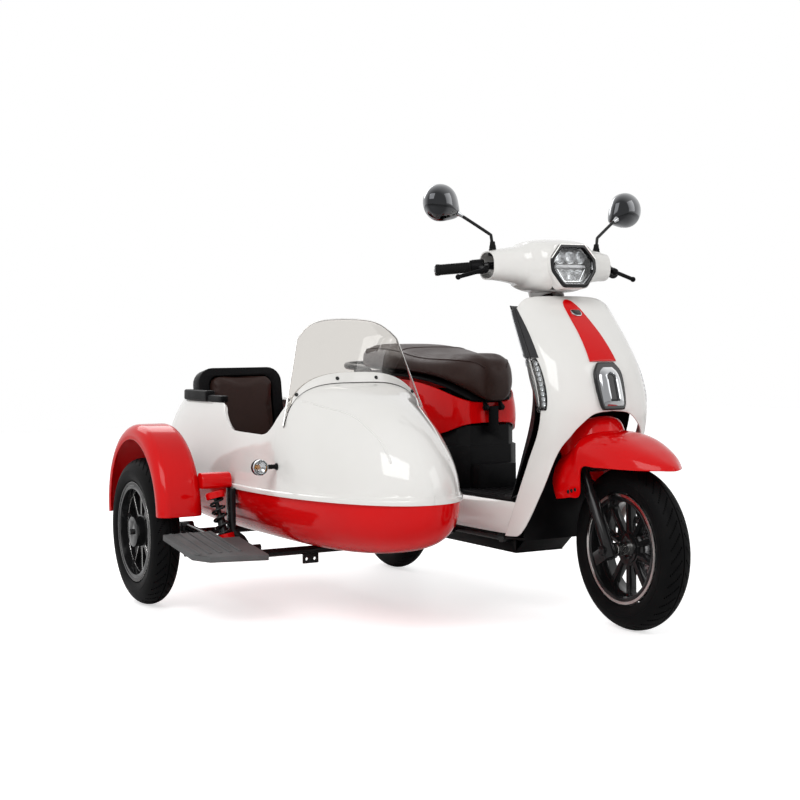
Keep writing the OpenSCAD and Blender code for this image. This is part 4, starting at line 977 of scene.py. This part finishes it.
def makeTrims():
    split, top, foot, wide = strip["split"], strip["top"], strip["foot"], strip["face"]
    makeStrip(split + 0.6, top, "shield_trim_strips", "shield_trims", "charcoalTrim")
    makeStrip(foot, split, "indicator_lenses", "front_indicators", "lampGlass")
    makeTrimFace(split + 1, top + 8, wide, 1.0, "trim_faces", "charcoalTrim")
    makeTrimFace(foot + 6, split, wide, 0.7, "indicator_beds", "glossBlack")
    makeTrimFace(foot + 10, split - 3, wide * 0.9, 6.0, "indicator_covers", "lampGlass")
    bowls = []
    r = strip["cupRadius"]
    for k in range(strip["cups"]):
        z = foot + 22 + (split - foot - 36) * k / (strip["cups"] - 1)
        u = 1 - wide * 0.32
        centre = shieldAt(u, z, -0.8)
        out = (centre - shieldAt(u, z, 10)).normalized() + Vector((0.5, 0.6, 0))
        bowls.append(turned([(0, 0.6), (1.6, 0.6), (r * 0.8, 2.0), (r, 3.6), (r + 0.9, 3.6), (r + 1.2, 0)],
                            aim(centre, centre + out), 16))
    addPiece(mirrorY(joined(bowls)), "indicator_cups", "chassis", ["chrome"])
    for sign, label in ((1, "left"), (-1, "right")):
        heights = [foot + (top - foot) * k / 50 for k in range(51)]
        wire([spot(shieldEdge(z) - 1.4, sign * (shieldHalf(z) + 0.8), z) for z in heights], 1.7,
             "trim_edge_" + label, "chassis", "glossBlack")
        wire([spot(shieldEdge(z) - stripWide(z) - 0.6, sign * (shieldHalf(z) - 0.5), z) for z in heights[22:]], 1.8,
             "trim_line_" + label, "chassis", "chrome")


makeShield()
makeGrille()
makeTrims()
print("shield made")

# front fender, in the frame of the steering axis with the axle at its origin
fender = {"columns": 84, "rows": 52, "wall": 3, "collar": 88, "collarLow": 272, "collarHigh": 344, "offset": 20,
          "table": [(-136, 214, 262, 62), (-122, 194, 284, 90), (-90, 180, 302, 103), (-40, 162, 312, 110),
                    (5, 150, 312, 112), (40, 206, 304, 110), (90, 186, 284, 105), (150, 154, 240, 91),
                    (205, 124, 178, 63), (236, 108, 134, 30), (250, 100, 110, 9)],
          "screws": [(-20, 172), (-4, 168), (-36, 176)]}


def makeFender():
    table = fender["table"]

    def fenderPoint(a, b):
        along = table[0][0] + (table[-1][0] - table[0][0]) * (0.6 * a + 0.4 * (0.5 - 0.5 * math.cos(math.pi * a)))
        edge, crown, half = (readTable(table, along, k) for k in (1, 2, 3))
        half *= 1 - 0.85 * max((a - 0.97) / 0.03, 0) ** 3
        t = math.pi * (1 - b)
        return forkFrame @ (Vector((along, half * bent(math.cos(t), 0.72),
                                    edge + (crown - edge) * bent(math.sin(t), 0.72))) / 1000)

    body, slot = bodyOf["front_fender"], slotOf["front_fender"]
    bm = faceOut(mappedGrid(fender["columns"], fender["rows"], fenderPoint), forkFrame @ Vector((0.02, 0, 0.2)))
    thicken(addPiece(bm, "front_fender_shell", body, ["gloryRed"], ["front_fender"], 40), fender["wall"], 1.2)
    r, low, high = fender["collar"], fender["collarLow"], fender["collarHigh"]
    bm = turned([(r - 4, low), (r, low), (r, high - 22), (r - 2, high - 12), (r - 8, high - 4), (r - 18, high),
                 (26, high + 1), (22, high), (22, high - 3), (r - 18, high - 4), (r - 5, high - 16), (r - 4, low)],
                forkFrame @ Matrix.Translation((-fender["offset"] / 1000, 0, 0)), 72)
    addPiece(bm, "front_fender_collar", body, ["gloryRed"], (), 40)
    heads = []
    for along, rise in fender["screws"]:
        half = readTable(table, along, 3)
        start = forkFrame @ Vector((along / 1000, half / 1000, rise / 1000))
        heads.append(turned([(0, 1.4), (2.2, 1.2), (2.6, 2.2), (4.2, 1.8), (5.0, 0.4), (5.2, -1)],
                            aim(start, start + Vector((0, 1, 0))), 18))
    addPiece(mirrorY(joined(heads)), "front_fender_screws", body, ["glossBlack"])


makeFender()
print("front fender made")

# headlamp cowl, lofted across the bars
barX = 882 + frontX
cowl = {"columns": 120, "rows": 96, "wall": 3.6, "end": 189, "neck": 46,
        "table": [(0, 21, 930, 108, 72), (52, 20, 930, 105, 70), (80, 17, 931, 92, 64), (98, 10, 932, 66, 53),
                  (128, 5, 933, 50, 46.5), (162, 1, 933, 43, 41.5), (189, -1, 931, 38, 38)]}
upright = Matrix(((0, 0, 1, 0), (1, 0, 0, 0), (0, 1, 0, 0), (0, 0, 0, 1)))
lampFrame = Matrix.Translation(spot(barX + 124, 0, 926)) @ Matrix.Rotation(math.radians(-6), 4, "Y") @ upright
dashFrame = Matrix.Translation(spot(barX - 44, 0, 976)) @ Matrix.Rotation(math.radians(-38), 4, "Y")


def lampOutline(grow):
    return [(-40 - grow, 58 + grow), (40 + grow, 58 + grow), (72 + grow, 20 + grow), (72 + grow, -14),
            (38 + grow, -58 - grow), (-38 - grow, -58 - grow), (-72 - grow, -14), (-72 - grow, 20 + grow)]


def insideOf(x, y, outline):
    signs = [(a1 - a0) * (y - b0) - (b1 - b0) * (x - a0)
             for (a0, b0), (a1, b1) in zip(outline, outline[1:] + outline[:1])]
    return max(signs) <= 0 or min(signs) >= 0


def cutWindow(bm, place, outline, deep):  # opens a convex outline seen along the frame's Z
    back = place.inverted()
    for (a0, b0), (a1, b1) in zip(outline, outline[1:] + outline[:1]):
        near = [f for f in bm.faces if (back @ f.calc_center_median()).z * 1000 > -deep]
        geom = near + list({e for f in near for e in f.edges}) + list({v for f in near for v in f.verts})
        bmesh.ops.bisect_plane(bm, geom=geom, dist=0.000002, plane_co=place @ Vector((a0 / 1000, b0 / 1000, 0)),
                               plane_no=place.to_3x3() @ Vector((b1 - b0, a0 - a1, 0)))
    gone = []
    for f in bm.faces:
        c = back @ f.calc_center_median() * 1000
        if c.z > -deep and insideOf(c.x, c.y, outline):
            gone.append(f)
    bmesh.ops.delete(bm, geom=gone, context="FACES")


def makeCowl():
    def cowlPoint(a, b):
        side = (2 * b - 1)
        y = cowl["end"] * (0.75 * side + 0.25 * math.sin(side * math.pi / 2))
        lead, mid, long, tall = (readTable(cowl["table"], abs(y), k) for k in (1, 2, 3, 4))
        t = a * math.tau
        return spot(barX + lead + long * bent(math.cos(t), 0.8), y, mid + tall * bent(math.sin(t), 0.8))

    bm = faceOut(mappedGrid(cowl["columns"], cowl["rows"], cowlPoint), spot(barX + 10, 0, 930))
    cutWindow(bm, lampFrame, lampOutline(0.4), 60)
    cutWindow(bm, dashFrame, [(-31, -61), (31, -61), (31, 61), (-31, 61)], 30)
    body, slot = bodyOf["nacelle"], slotOf["nacelle"]
    thicken(addPiece(bm, "nacelle_shell", body, ["pearlWhite"], ["nacelle"], 40), cowl["wall"], 1.2)
    bm = bmesh.new()
    rings = []
    for grow, lift in ((0.2, 3.6), (0.9, 4.2), (1.5, 2.5), (1.8, -12), (1.8, -32)):
        flat = outlineFace(lampOutline(grow), 8, 4)
        loop = next(iter(flat.faces)).verts
        rings.append([bm.verts.new(lampFrame @ (v.co + Vector((0, 0, lift / 1000)))) for v in loop])
        flat.free()
    for near, far in zip(rings, rings[1:]):
        for i in range(len(near)):
            j = (i + 1) % len(near)
            bm.faces.new((near[i], near[j], far[j], far[i]))
    faceOut(bm, lampFrame @ Vector((0, 0, -0.015)))
    addPiece(bm, "nacelle_lamp_lip", body, ["pearlWhite"], (), 50)
    r = cowl["neck"]
    bm = turned([(r - 6, 728), (r - 1, 728), (r, 730), (r, 772), (r - 6, 772), (r - 6, 728)],
                forkFrame @ Matrix.Translation((-0.02, 0, 0)), 64)
    addPiece(bm, "nacelle_neck", body, ["pearlWhite"])


# headlamp: bezel, bright brow, bowl with two rows of lenses, clear cover
lamp = {"band": 9.4, "deep": 36, "brow": 2.0, "line": 1.6, "rowHigh": 24, "rowLow": -24, "lensHalf": 15,
        "columns": (-32, 0, 32), "vee": [(-44, -8), (-24, -40), (24, -40), (44, -8)], "slash": [(-52, 12), (-34, 44)],
        "crown": ((0.0024, 0.0016), (0.0020, 0.0008))}


def makeLamp():
    body = bodyOf["headlamp"]
    bm = outlineFace(lampOutline(0), 10, 5)
    middle = bm.faces[:]
    bmesh.ops.inset_region(bm, faces=middle, thickness=lamp["band"] / 1000, depth=-0.002,
                             use_boundary=True, use_even_offset=True)
    bmesh.ops.delete(bm, geom=middle, context="FACES")
    bmesh.ops.transform(bm, matrix=lampFrame @ Matrix.Translation((0, 0, 0.006)), verts=bm.verts[:])
    band = addPiece(faceAhead(bm), "headlamp_band", body, ["glossBlack"], ["headlamp_bezel"], 40)
    thicken(band, lamp["deep"], 1.6)

    def onLamp(points, lift):
        return [lampFrame @ (Vector((a, b, lift)) / 1000) for a, b in points]

    ring = lampOutline(-1.5)
    over = onLamp([ring[7], ring[0], ring[1], ring[2]], 6.4)
    wire(over, lamp["brow"], "headlamp_brow", body, "machinedAlloy")
    under = onLamp(lampOutline(-10)[7:1:-1], 2.5)
    wire(under, lamp["line"], "headlamp_line", body, "chrome")
    wire(onLamp(lamp["vee"], -10), 2.0, "headlamp_vee", body, "mirrorSilver")
    wire(onLamp(lamp["slash"], -8), 1.8, "headlamp_slash", body, "mirrorSilver")
    bm = outlineFace(lampOutline(-9.4), 5, 3)
    floor = liftFaces(bm, bm.faces[:], (0, 0, -0.026), 0.86)
    for f in floor:
        f.material_index = 1
    mouth = [f for f in bm.faces if f not in floor and abs(f.normal.z) > 0.99]
    bmesh.ops.delete(bm, geom=mouth, context="FACES_ONLY")
    bmesh.ops.transform(bm, matrix=lampFrame @ Matrix.Translation((0, 0, -0.001)), verts=bm.verts[:])
    addPiece(bm, "headlamp_bowl", body, ["darkChrome", "glossBlack"])
    reflectors, domes = [], []
    r = lamp["lensHalf"]
    for row in (lamp["rowHigh"], lamp["rowLow"]):
        for column in lamp["columns"]:
            side = column * (0.8 if row < 0 else 1)
            start = lampFrame @ (Vector((side, row, -26)) / 1000)
            end = lampFrame @ (Vector((side, row, 0)) / 1000)
            reflectors.append(turned([(0, 1), (r * 0.5, 2), (r * 0.85, 7), (r, 14), (r + 1.4, 14.4), (r + 1.6, 0)],
                               aim(start, end), 28))
            domes.append(turned([(0, 15), (r * 0.4, 14.4), (r * 0.75, 12.2), (r * 0.94, 8)], aim(start, end), 28))
    addPiece(joined(reflectors), "headlamp_cups", body, ["chrome"])
    addPiece(joined(domes), "headlamp_domes", body, ["lampGlass"])
    bm = outlineFace([(-50, -4), (50, -4), (46, 4), (-46, 4)], 1.5, 2)
    liftFaces(bm, bm.faces[:], (0, 0, 0.016))
    bmesh.ops.transform(bm, matrix=lampFrame @ Matrix.Translation((0, 0, -0.026)), verts=bm.verts[:])
    bmesh.ops.recalc_face_normals(bm, faces=bm.faces[:])
    softBevel(bm, hardEdges(bm, 50), 0.0015, 2)
    addPiece(bm, "headlamp_bar", body, ["greyAlloy"])
    bm = outlineFace(lampOutline(-9.6), 5, 4)
    cover = bm.faces[:]
    for width, rise in lamp["crown"]:
        bmesh.ops.inset_region(bm, faces=cover, thickness=width, depth=rise, use_boundary=True, use_even_offset=True)
    bmesh.ops.transform(bm, matrix=lampFrame, verts=bm.verts[:])
    thicken(addPiece(faceAhead(bm), "headlamp_cover", body, ["lampGlass"], ["headlamp"], 60), 1.6)


makeCowl()
makeLamp()
print("headlamp made")

# mirrors: round shells drawn to a point at the stalk, rubber boots
mirror = {"centre": (barX - 44, 303, 1097), "radius": 49, "deep": 32, "pull": 13, "boot": (barX - 2, 169, 963),
          "elbow": (barX - 2, 170, 1012), "stalk": 4.3, "steps": 24, "bend": 0.16,
          "neck": [(0, -4), (4.6, -4), (5.0, 2), (6.4, 8), (8.2, 13), (0, 15)],
          "sleeve": [(0, -6), (12, -6), (12.4, 4), (9.6, 8), (10.6, 10), (8.8, 15), (9.4, 17), (7.4, 24), (6.6, 32),
                     (0, 33)]}


def makeMirrors():
    body = bodyOf["mirror_shells"]
    centre, boot, elbow = spot(*mirror["centre"]), spot(*mirror["boot"]), spot(*mirror["elbow"])
    r, deep = mirror["radius"], mirror["deep"]
    profile = [(r - 4, -8), (r - 4, -11), (r - 1, -11), (r, -9.5)]
    profile += [(r * math.cos(math.radians(a)), deep * math.sin(math.radians(a))) for a in range(0, 91, 6)]
    bm = turned(profile, Matrix.Translation(centre) @ Matrix.Rotation(math.radians(90), 4, "Y"), 72)
    toStalk = (elbow - centre)
    toStalk.x = 0
    toStalk.normalize()
    for v in bm.verts:
        arm = v.co - centre
        arm.x = 0
        if arm.length > 0.001:
            face = max(arm.normalized().dot(toStalk), 0) ** 10
            v.co += toStalk * face * (arm.length * 1000 / r) ** 2 * mirror["pull"] / 1000
    addPiece(mirrorY(bm), "mirror_backs", body, ["darkChrome"], ["mirror_shells"], 40)
    far = centre + (elbow - centre).normalized() * (r - 1) / 1000
    neck = turned(mirror["neck"], aim(far + (far - centre) * 0.35, centre), 24)
    addPiece(mirrorY(neck), "mirror_necks", body, ["chrome"])
    sleeve = turned(mirror["sleeve"], aim(boot, elbow), 32)
    addPiece(mirrorY(sleeve), "mirror_boots", body, ["gripRubber"])
    for sign, label in ((1, "left"), (-1, "right")):
        points = []
        for k in range(mirror["steps"] + 1):  # two straights, eased into one bend at the elbow
            t = k / mirror["steps"]
            curve = boot * (1 - t) ** 2 + elbow * 2 * t * (1 - t) + far * t * t
            if t < 0.5:
                straight = boot + (elbow - boot) * 2 * t
            else:
                straight = elbow + (far - elbow) * (2 * t - 1)
            p = curve * mirror["bend"] + straight * (1 - mirror["bend"])
            points.append(Vector((p.x, rearAxle.y + sign * (p.y - rearAxle.y), p.z)))
        rod = wire(points, mirror["stalk"], "mirror_stalk_" + label, body, "blackSteel")
        if sign > 0:
            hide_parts("mirror_stalks")


# grips with ribs and bright bar ends
grip = {"radius": 14.5, "from": 219, "to": 297, "bend": 186, "rib": 4.4}


def barAt(y):
    past = max(abs(y) - grip["bend"], 0)
    return spot(barX - past * 0.84, y, 930 - past * 0.08)


def makeGrips():
    start, end = barAt(grip["from"]), barAt(grip["to"])
    long = (end - start).length * 1000
    r = grip["radius"]
    profile = [(10.2, 0), (r + 4, 0), (r + 4, 4), (r + 1, 5)]
    reach = 7.0
    while reach < long - 16:
        profile += [(r - 0.9, reach), (r - 0.9, reach + 1.0), (r, reach + 1.5), (r, reach + grip["rib"] - 0.5)]
        reach += grip["rib"]
    profile += [(r + 1, long - 12), (r + 1, long - 7), (10.2, long - 6.5)]
    place = aim(start, end)
    body = bodyOf["grips"]
    addPiece(mirrorY(turned(profile, place, 40)), "grip_sleeves", body, ["gripRubber"], ["grips"], 30)
    cap = turned([(0, long - 0.5), (6, long - 0.5), (7, long - 2), (11, long - 2), (r + 0.5, long - 3),
                  (r + 1.2, long - 4.5), (r + 0.5, long - 6), (0, long - 6)], place, 40)
    addPiece(mirrorY(cap), "bar_ends", body, ["chrome"], (), 30)


makeMirrors()
makeGrips()
print("bars dressed")

# raised rear block of the armrest
rest = {"from": -134, "to": 74, "low": 561, "high": 593, "out": 6, "in": 24, "round": 6}


def makeArmBlock():
    outer = [(x, hull["side"] - hullSide(x, 560) - rest["out"]) for x in range(rest["from"], rest["to"] + 1, 16)]
    inner = [(x, hull["side"] - hullSide(x, 560) + rest["in"]) for x in range(rest["to"], rest["from"] - 1, -16)]
    bm = bmesh.new()
    bm.faces.new([bm.verts.new(spot(x, y, rest["low"])) for x, y in outer + inner])
    liftFaces(bm, bm.faces[:], (0, 0, (rest["high"] - rest["low"]) / 1000), 0.985)
    bmesh.ops.recalc_face_normals(bm, faces=bm.faces[:])
    softBevel(bm, hardEdges(bm, 40), rest["round"] / 1000, 4)
    addPiece(bm, "armrest_block", "chassis", ["blackPlastic"], (), 36)


makeArmBlock()
print("armrest made")

# small round lamp on the hull's side
sideLamp = {"x": 716, "z": 412, "radius": 21, "out": 50,
            "stalk": [(0, 0), (9, 0), (9, 2.5), (6.4, 5), (5.6, 12), (6.6, 14), (5.6, 17), (6.6, 20), (5.6, 23),
                      (6, 32), (0, 32)]}


def makeSideLamp():
    y = hull["side"] - hullSide(sideLamp["x"], sideLamp["z"])
    back = spot(sideLamp["x"] - 12, y - sideLamp["out"], sideLamp["z"])
    ahead = aim(back, back + Vector((1, 0, 0)))
    slot, r = slotOf["sidecar_lamp"], sideLamp["radius"]
    bm = turned([(0, 0), (r - 6, 0), (r - 2, 3), (r, 9), (r, 20), (r - 2, 20), (r - 3, 12), (0, 9)], ahead, 40)
    foot = spot(sideLamp["x"], y - 0.3, sideLamp["z"])
    stalk = turned(sideLamp["stalk"], aim(foot, foot + Vector((0, -1, 0))), 28)
    addPiece(joined([bm, stalk]), "side_lamp_body", "chassis", ["blackPlastic"], ["sidecar_lamp"], 40)
    bm = turned([(r - 3.5, 19), (r - 0.4, 19), (r, 21), (r - 0.6, 24), (r - 2.6, 25), (r - 3.5, 23.5), (r - 3.5, 19)],
                ahead, 40)
    bowl = turned([(0, 11), (5, 11.5), (11, 15), (r - 3.6, 22)], ahead, 40)
    addPiece(joined([bm, bowl]), "side_lamp_ring", "chassis", ["chrome"], (), 40)
    bulb = turned([(0, 20), (2.4, 19), (3.4, 16), (3, 12)], ahead, 20)
    addPiece(bulb, "side_lamp_bulb", "chassis", ["amberLens"])
    bm = turned([(0, 27.6), (6, 27.2), (12, 25.8), (r - 4, 23.4)], ahead, 40)
    thicken(addPiece(bm, "side_lamp_glass", "chassis", ["lampGlass"]), 1.2)


makeSideLamp()
print("side lamp made")

# stuffed pieces: remeshed, blown up by the cloth solver, then welted
pads = {
    "saddle": {"voxel": 6.0, "inset": 2.5, "cap": 5.0, "pressure": 3.0, "settle": 10},
    "sidecar_cushion": {"voxel": 5.0, "inset": 4.0, "cap": 12.0, "pressure": 4.0, "settle": 5},
    "sidecar_backrest": {"voxel": 4.5, "inset": 3.0, "cap": 7.0, "pressure": 4.0, "settle": 6},
}


def relax(bm, times):
    for step in range(times):
        bmesh.ops.smooth_vert(bm, verts=bm.verts[:], factor=0.5, use_axis_x=True, use_axis_y=True, use_axis_z=True)


def puffUp(node, under):
    want = pads[node]
    bm = startFrom(node)
    softBevel(bm, hardEdges(bm, 40), 0.012, 3)
    bmesh.ops.recalc_face_normals(bm, faces=bm.faces[:])
    mesh = bpy.data.meshes.new(node + "_pad")
    bm.to_mesh(mesh)
    bm.free()
    obj = bpy.data.objects.new(node + "_pad", mesh)
    scene.collection.objects.link(obj)
    grid = obj.modifiers.new("voxels", "REMESH")
    grid.mode = "VOXEL"
    grid.voxel_size = want["voxel"] / 1000
    fine = bpy.data.meshes.new_from_object(obj.evaluated_get(bpy.context.evaluated_depsgraph_get()))
    obj.modifiers.remove(grid)
    obj.data = fine
    bm = bmesh.new()
    bm.from_mesh(fine)
    relax(bm, 3)
    bm.normal_update()
    for v in bm.verts:
        v.co -= v.normal * want["inset"] / 1000
    bm.to_mesh(fine)
    bm.free()
    held = obj.vertex_groups.new(name="held")
    held.add([v.index for v in fine.vertices if v.normal.dot(under) > 0.7], 1.0, "REPLACE")
    cloth = obj.modifiers.new("cloth", "CLOTH")
    cloth.settings.use_pressure = True
    cloth.settings.uniform_pressure_force = want["pressure"]
    cloth.settings.vertex_group_mass = "held"
    cloth.settings.effector_weights.gravity = 0
    cloth.point_cache.frame_start, cloth.point_cache.frame_end = 1, 20
    for step in range(1, 21):
        scene.frame_set(step)
    blown = bpy.data.meshes.new_from_object(obj.evaluated_get(bpy.context.evaluated_depsgraph_get()))
    for v, w in zip(fine.vertices, blown.vertices):
        move = w.co - v.co
        v.co += move * min(1, want["cap"] / 1000 / max(move.length, 0.000001))
    obj.modifiers.remove(cloth)
    obj.vertex_groups.clear()
    bpy.data.meshes.remove(blown)
    scene.frame_set(1)
    bm = bmesh.new()
    bm.from_mesh(fine)
    relax(bm, want["settle"])  # foam under a taut cover
    bm.to_mesh(fine)
    bm.free()
    for f in fine.polygons:
        f.use_smooth = True
    fine.materials.clear()
    fine.materials.append(mats["brownHide"])
    subdivide(obj, 1)
    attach(obj, bodyOf[node])
    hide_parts(node)
    return obj


def onSurface(obj, points, lift=0.4):  # drops points on a pad
    bm = bmesh.new()
    bm.from_mesh(obj.data)
    tree = BVHTree.FromBMesh(bm)
    bm.free()
    out = []
    for p in points:
        hit, normal, index, gap = tree.find_nearest(p)
        out.append(hit + normal * lift / 1000)
    return out


saddleForm = {"table": [(-58, 648, 688, 42), (-46, 644, 704, 80), (-5, 641, 719, 116), (70, 639, 724, 138),
                        (180, 637, 722, 146), (290, 634, 710, 148), (367, 630, 698, 144), (440, 621, 694, 133),
                        (510, 605, 694, 118), (562, 584, 694, 98), (600, 564, 690, 76), (622, 554, 678, 56),
                        (632, 552, 656, 40)],
              "border": 42, "crossing": 268, "weltFrom": -50, "weltLong": 676}


def saddleAt(x, degrees):
    low, high, half = (readTable(saddleForm["table"], x, k) for k in (1, 2, 3))
    t = math.radians(degrees)
    return spot(x, half * bent(math.cos(t), 0.62), (low + high) / 2 + (high - low) / 2 * bent(math.sin(t), 0.62))


def makeSaddle():
    pad = puffUp("saddle", Vector((0, 0, -1)))
    body, slot = bodyOf["saddle"], slotOf["saddle"]
    edge, start, long = saddleForm["border"], saddleForm["weltFrom"], saddleForm["weltLong"]
    right = [saddleAt(start + long * k / 90, 180 - edge) for k in range(91)]
    left = [saddleAt(start + long - long * k / 90, edge) for k in range(91)]
    wire(onSurface(pad, right + left), 1.9, "saddle_welt", body, "brownHide", True)
    across = [saddleAt(saddleForm["crossing"], edge + (180 - 2 * edge) * k / 40) for k in range(41)]
    wire(onSurface(pad, across), 1.5, "saddle_cross_welt", body, "brownHide")


cushionWelt = {"from": -30, "to": 304, "half": 134, "height": 398, "steps": 30}


def makePassengerPads():
    seat = puffUp("sidecar_cushion", Vector((0, 0, -1)))
    rear, front, half = cushionWelt["from"], cushionWelt["to"], cushionWelt["half"]
    corners = [(rear, -half), (front, -half), (front, half), (rear, half)]
    loop = []
    for (ax, ay), (bx, by) in zip(corners, corners[1:] + corners[:1]):
        for k in range(cushionWelt["steps"]):
            t = k / cushionWelt["steps"]
            loop.append(spot(ax + (bx - ax) * t, hull["side"] + ay + (by - ay) * t, cushionWelt["height"]))
    wire(onSurface(seat, loop), 1.9, "cushion_welt", "chassis", "brownHide", True)
    puffUp("sidecar_backrest", Vector((-1, 0, 0)))


makeSaddle()
makePassengerPads()
print("pads blown up")

# studio: white backdrop, soft lamps
studio = {"floor": 9.0, "world": 0.42, "lift": 0.6, "key": 85, "fill": 32, "rim": 46}


def makeStage():
    mat = bpy.data.materials.new("paleFloor")
    mat.use_nodes = True
    tree = mat.node_tree
    shader = tree.nodes["Principled BSDF"]
    shader.inputs["Base Color"].default_value = (0.9, 0.9, 0.9, 1)
    tone = remap(tree, noiseAt(tree, objectPoint(tree), 3.0), 0.3, 0.7, 0.5, 0.56)
    tree.links.new(tone, shader.inputs["Roughness"])
    rays = addNode(tree, "ShaderNodeLightPath")
    seen = mathNode(tree, "MAXIMUM", rays.outputs["Is Camera Ray"], rays.outputs["Is Transmission Ray"])
    tree.links.new(mathNode(tree, "MULTIPLY", seen, studio["lift"]), shader.inputs["Emission Strength"])
    shader.inputs["Emission Color"].default_value = (1, 1, 1, 1)
    bm = bmesh.new()
    bmesh.ops.create_grid(bm, x_segments=2, y_segments=2, size=studio["floor"])
    mesh = bpy.data.meshes.new("studioFloor")
    bm.to_mesh(mesh)
    bm.free()
    mesh.materials.append(mat)
    floor = bpy.data.objects.new("studioFloor", mesh)
    scene.collection.objects.link(floor)
    world = bpy.data.worlds.new("studioWorld")
    scene.world = world
    world.use_nodes = True
    tree = world.node_tree
    back = tree.nodes["Background"]
    back.inputs["Color"].default_value = (1, 1, 1, 1)
    rays = addNode(tree, "ShaderNodeLightPath")
    seen = mathNode(tree, "MAXIMUM", rays.outputs["Is Camera Ray"], rays.outputs["Is Glossy Ray"])
    seen = mathNode(tree, "MAXIMUM", seen, rays.outputs["Is Transmission Ray"])
    tree.links.new(remap(tree, seen, 0, 1, studio["world"], 1.0), back.inputs["Strength"])


def areaLight(name, place, target, size, power):
    light = bpy.data.lights.new(name, "AREA")
    light.shape = "RECTANGLE"
    light.size, light.size_y = size
    light.energy = power
    obj = bpy.data.objects.new(name, light)
    scene.collection.objects.link(obj)
    obj.location = place
    obj.rotation_euler = (target - place).to_track_quat("-Z", "Y").to_euler()


makeStage()
middle = spot(520, -320, 420)
areaLight("keyLight", spot(2600, -3000, 3200), middle, (2.6, 2.0), studio["key"])
areaLight("fillLight", spot(3600, 2200, 2200), middle, (2.0, 2.6), studio["fill"])
areaLight("rimLight", spot(-2600, -600, 2800), middle, (3.0, 1.6), studio["rim"])

# camera fitted to the wheels and mirrors of the photograph
shot = {"place": (4191.2, -2260.7, 722.6), "turn": 0.4992, "dip": 0.0375, "roll": -0.0114, "lens": 65.9}


def makeCamera():
    data = bpy.data.cameras.new("photoCamera")
    data.lens = shot["lens"]
    data.sensor_width = 36
    cam = bpy.data.objects.new("photoCamera", data)
    scene.collection.objects.link(cam)
    ahead = Vector((-math.cos(shot["turn"]) * math.cos(shot["dip"]), math.sin(shot["turn"]) * math.cos(shot["dip"]),
                    -math.sin(shot["dip"])))
    right = ahead.cross(Vector((0, 0, 1))).normalized()
    up = right.cross(ahead)
    rolled = Matrix.Rotation(shot["roll"], 3, -ahead)
    right, up = rolled @ right, rolled @ up
    cam.matrix_world = Matrix.Translation(spot(*shot["place"])) @ Matrix((right, up, -ahead)).transposed().to_4x4()
    scene.camera = cam


makeCamera()
scene.view_settings.view_transform = "Standard"
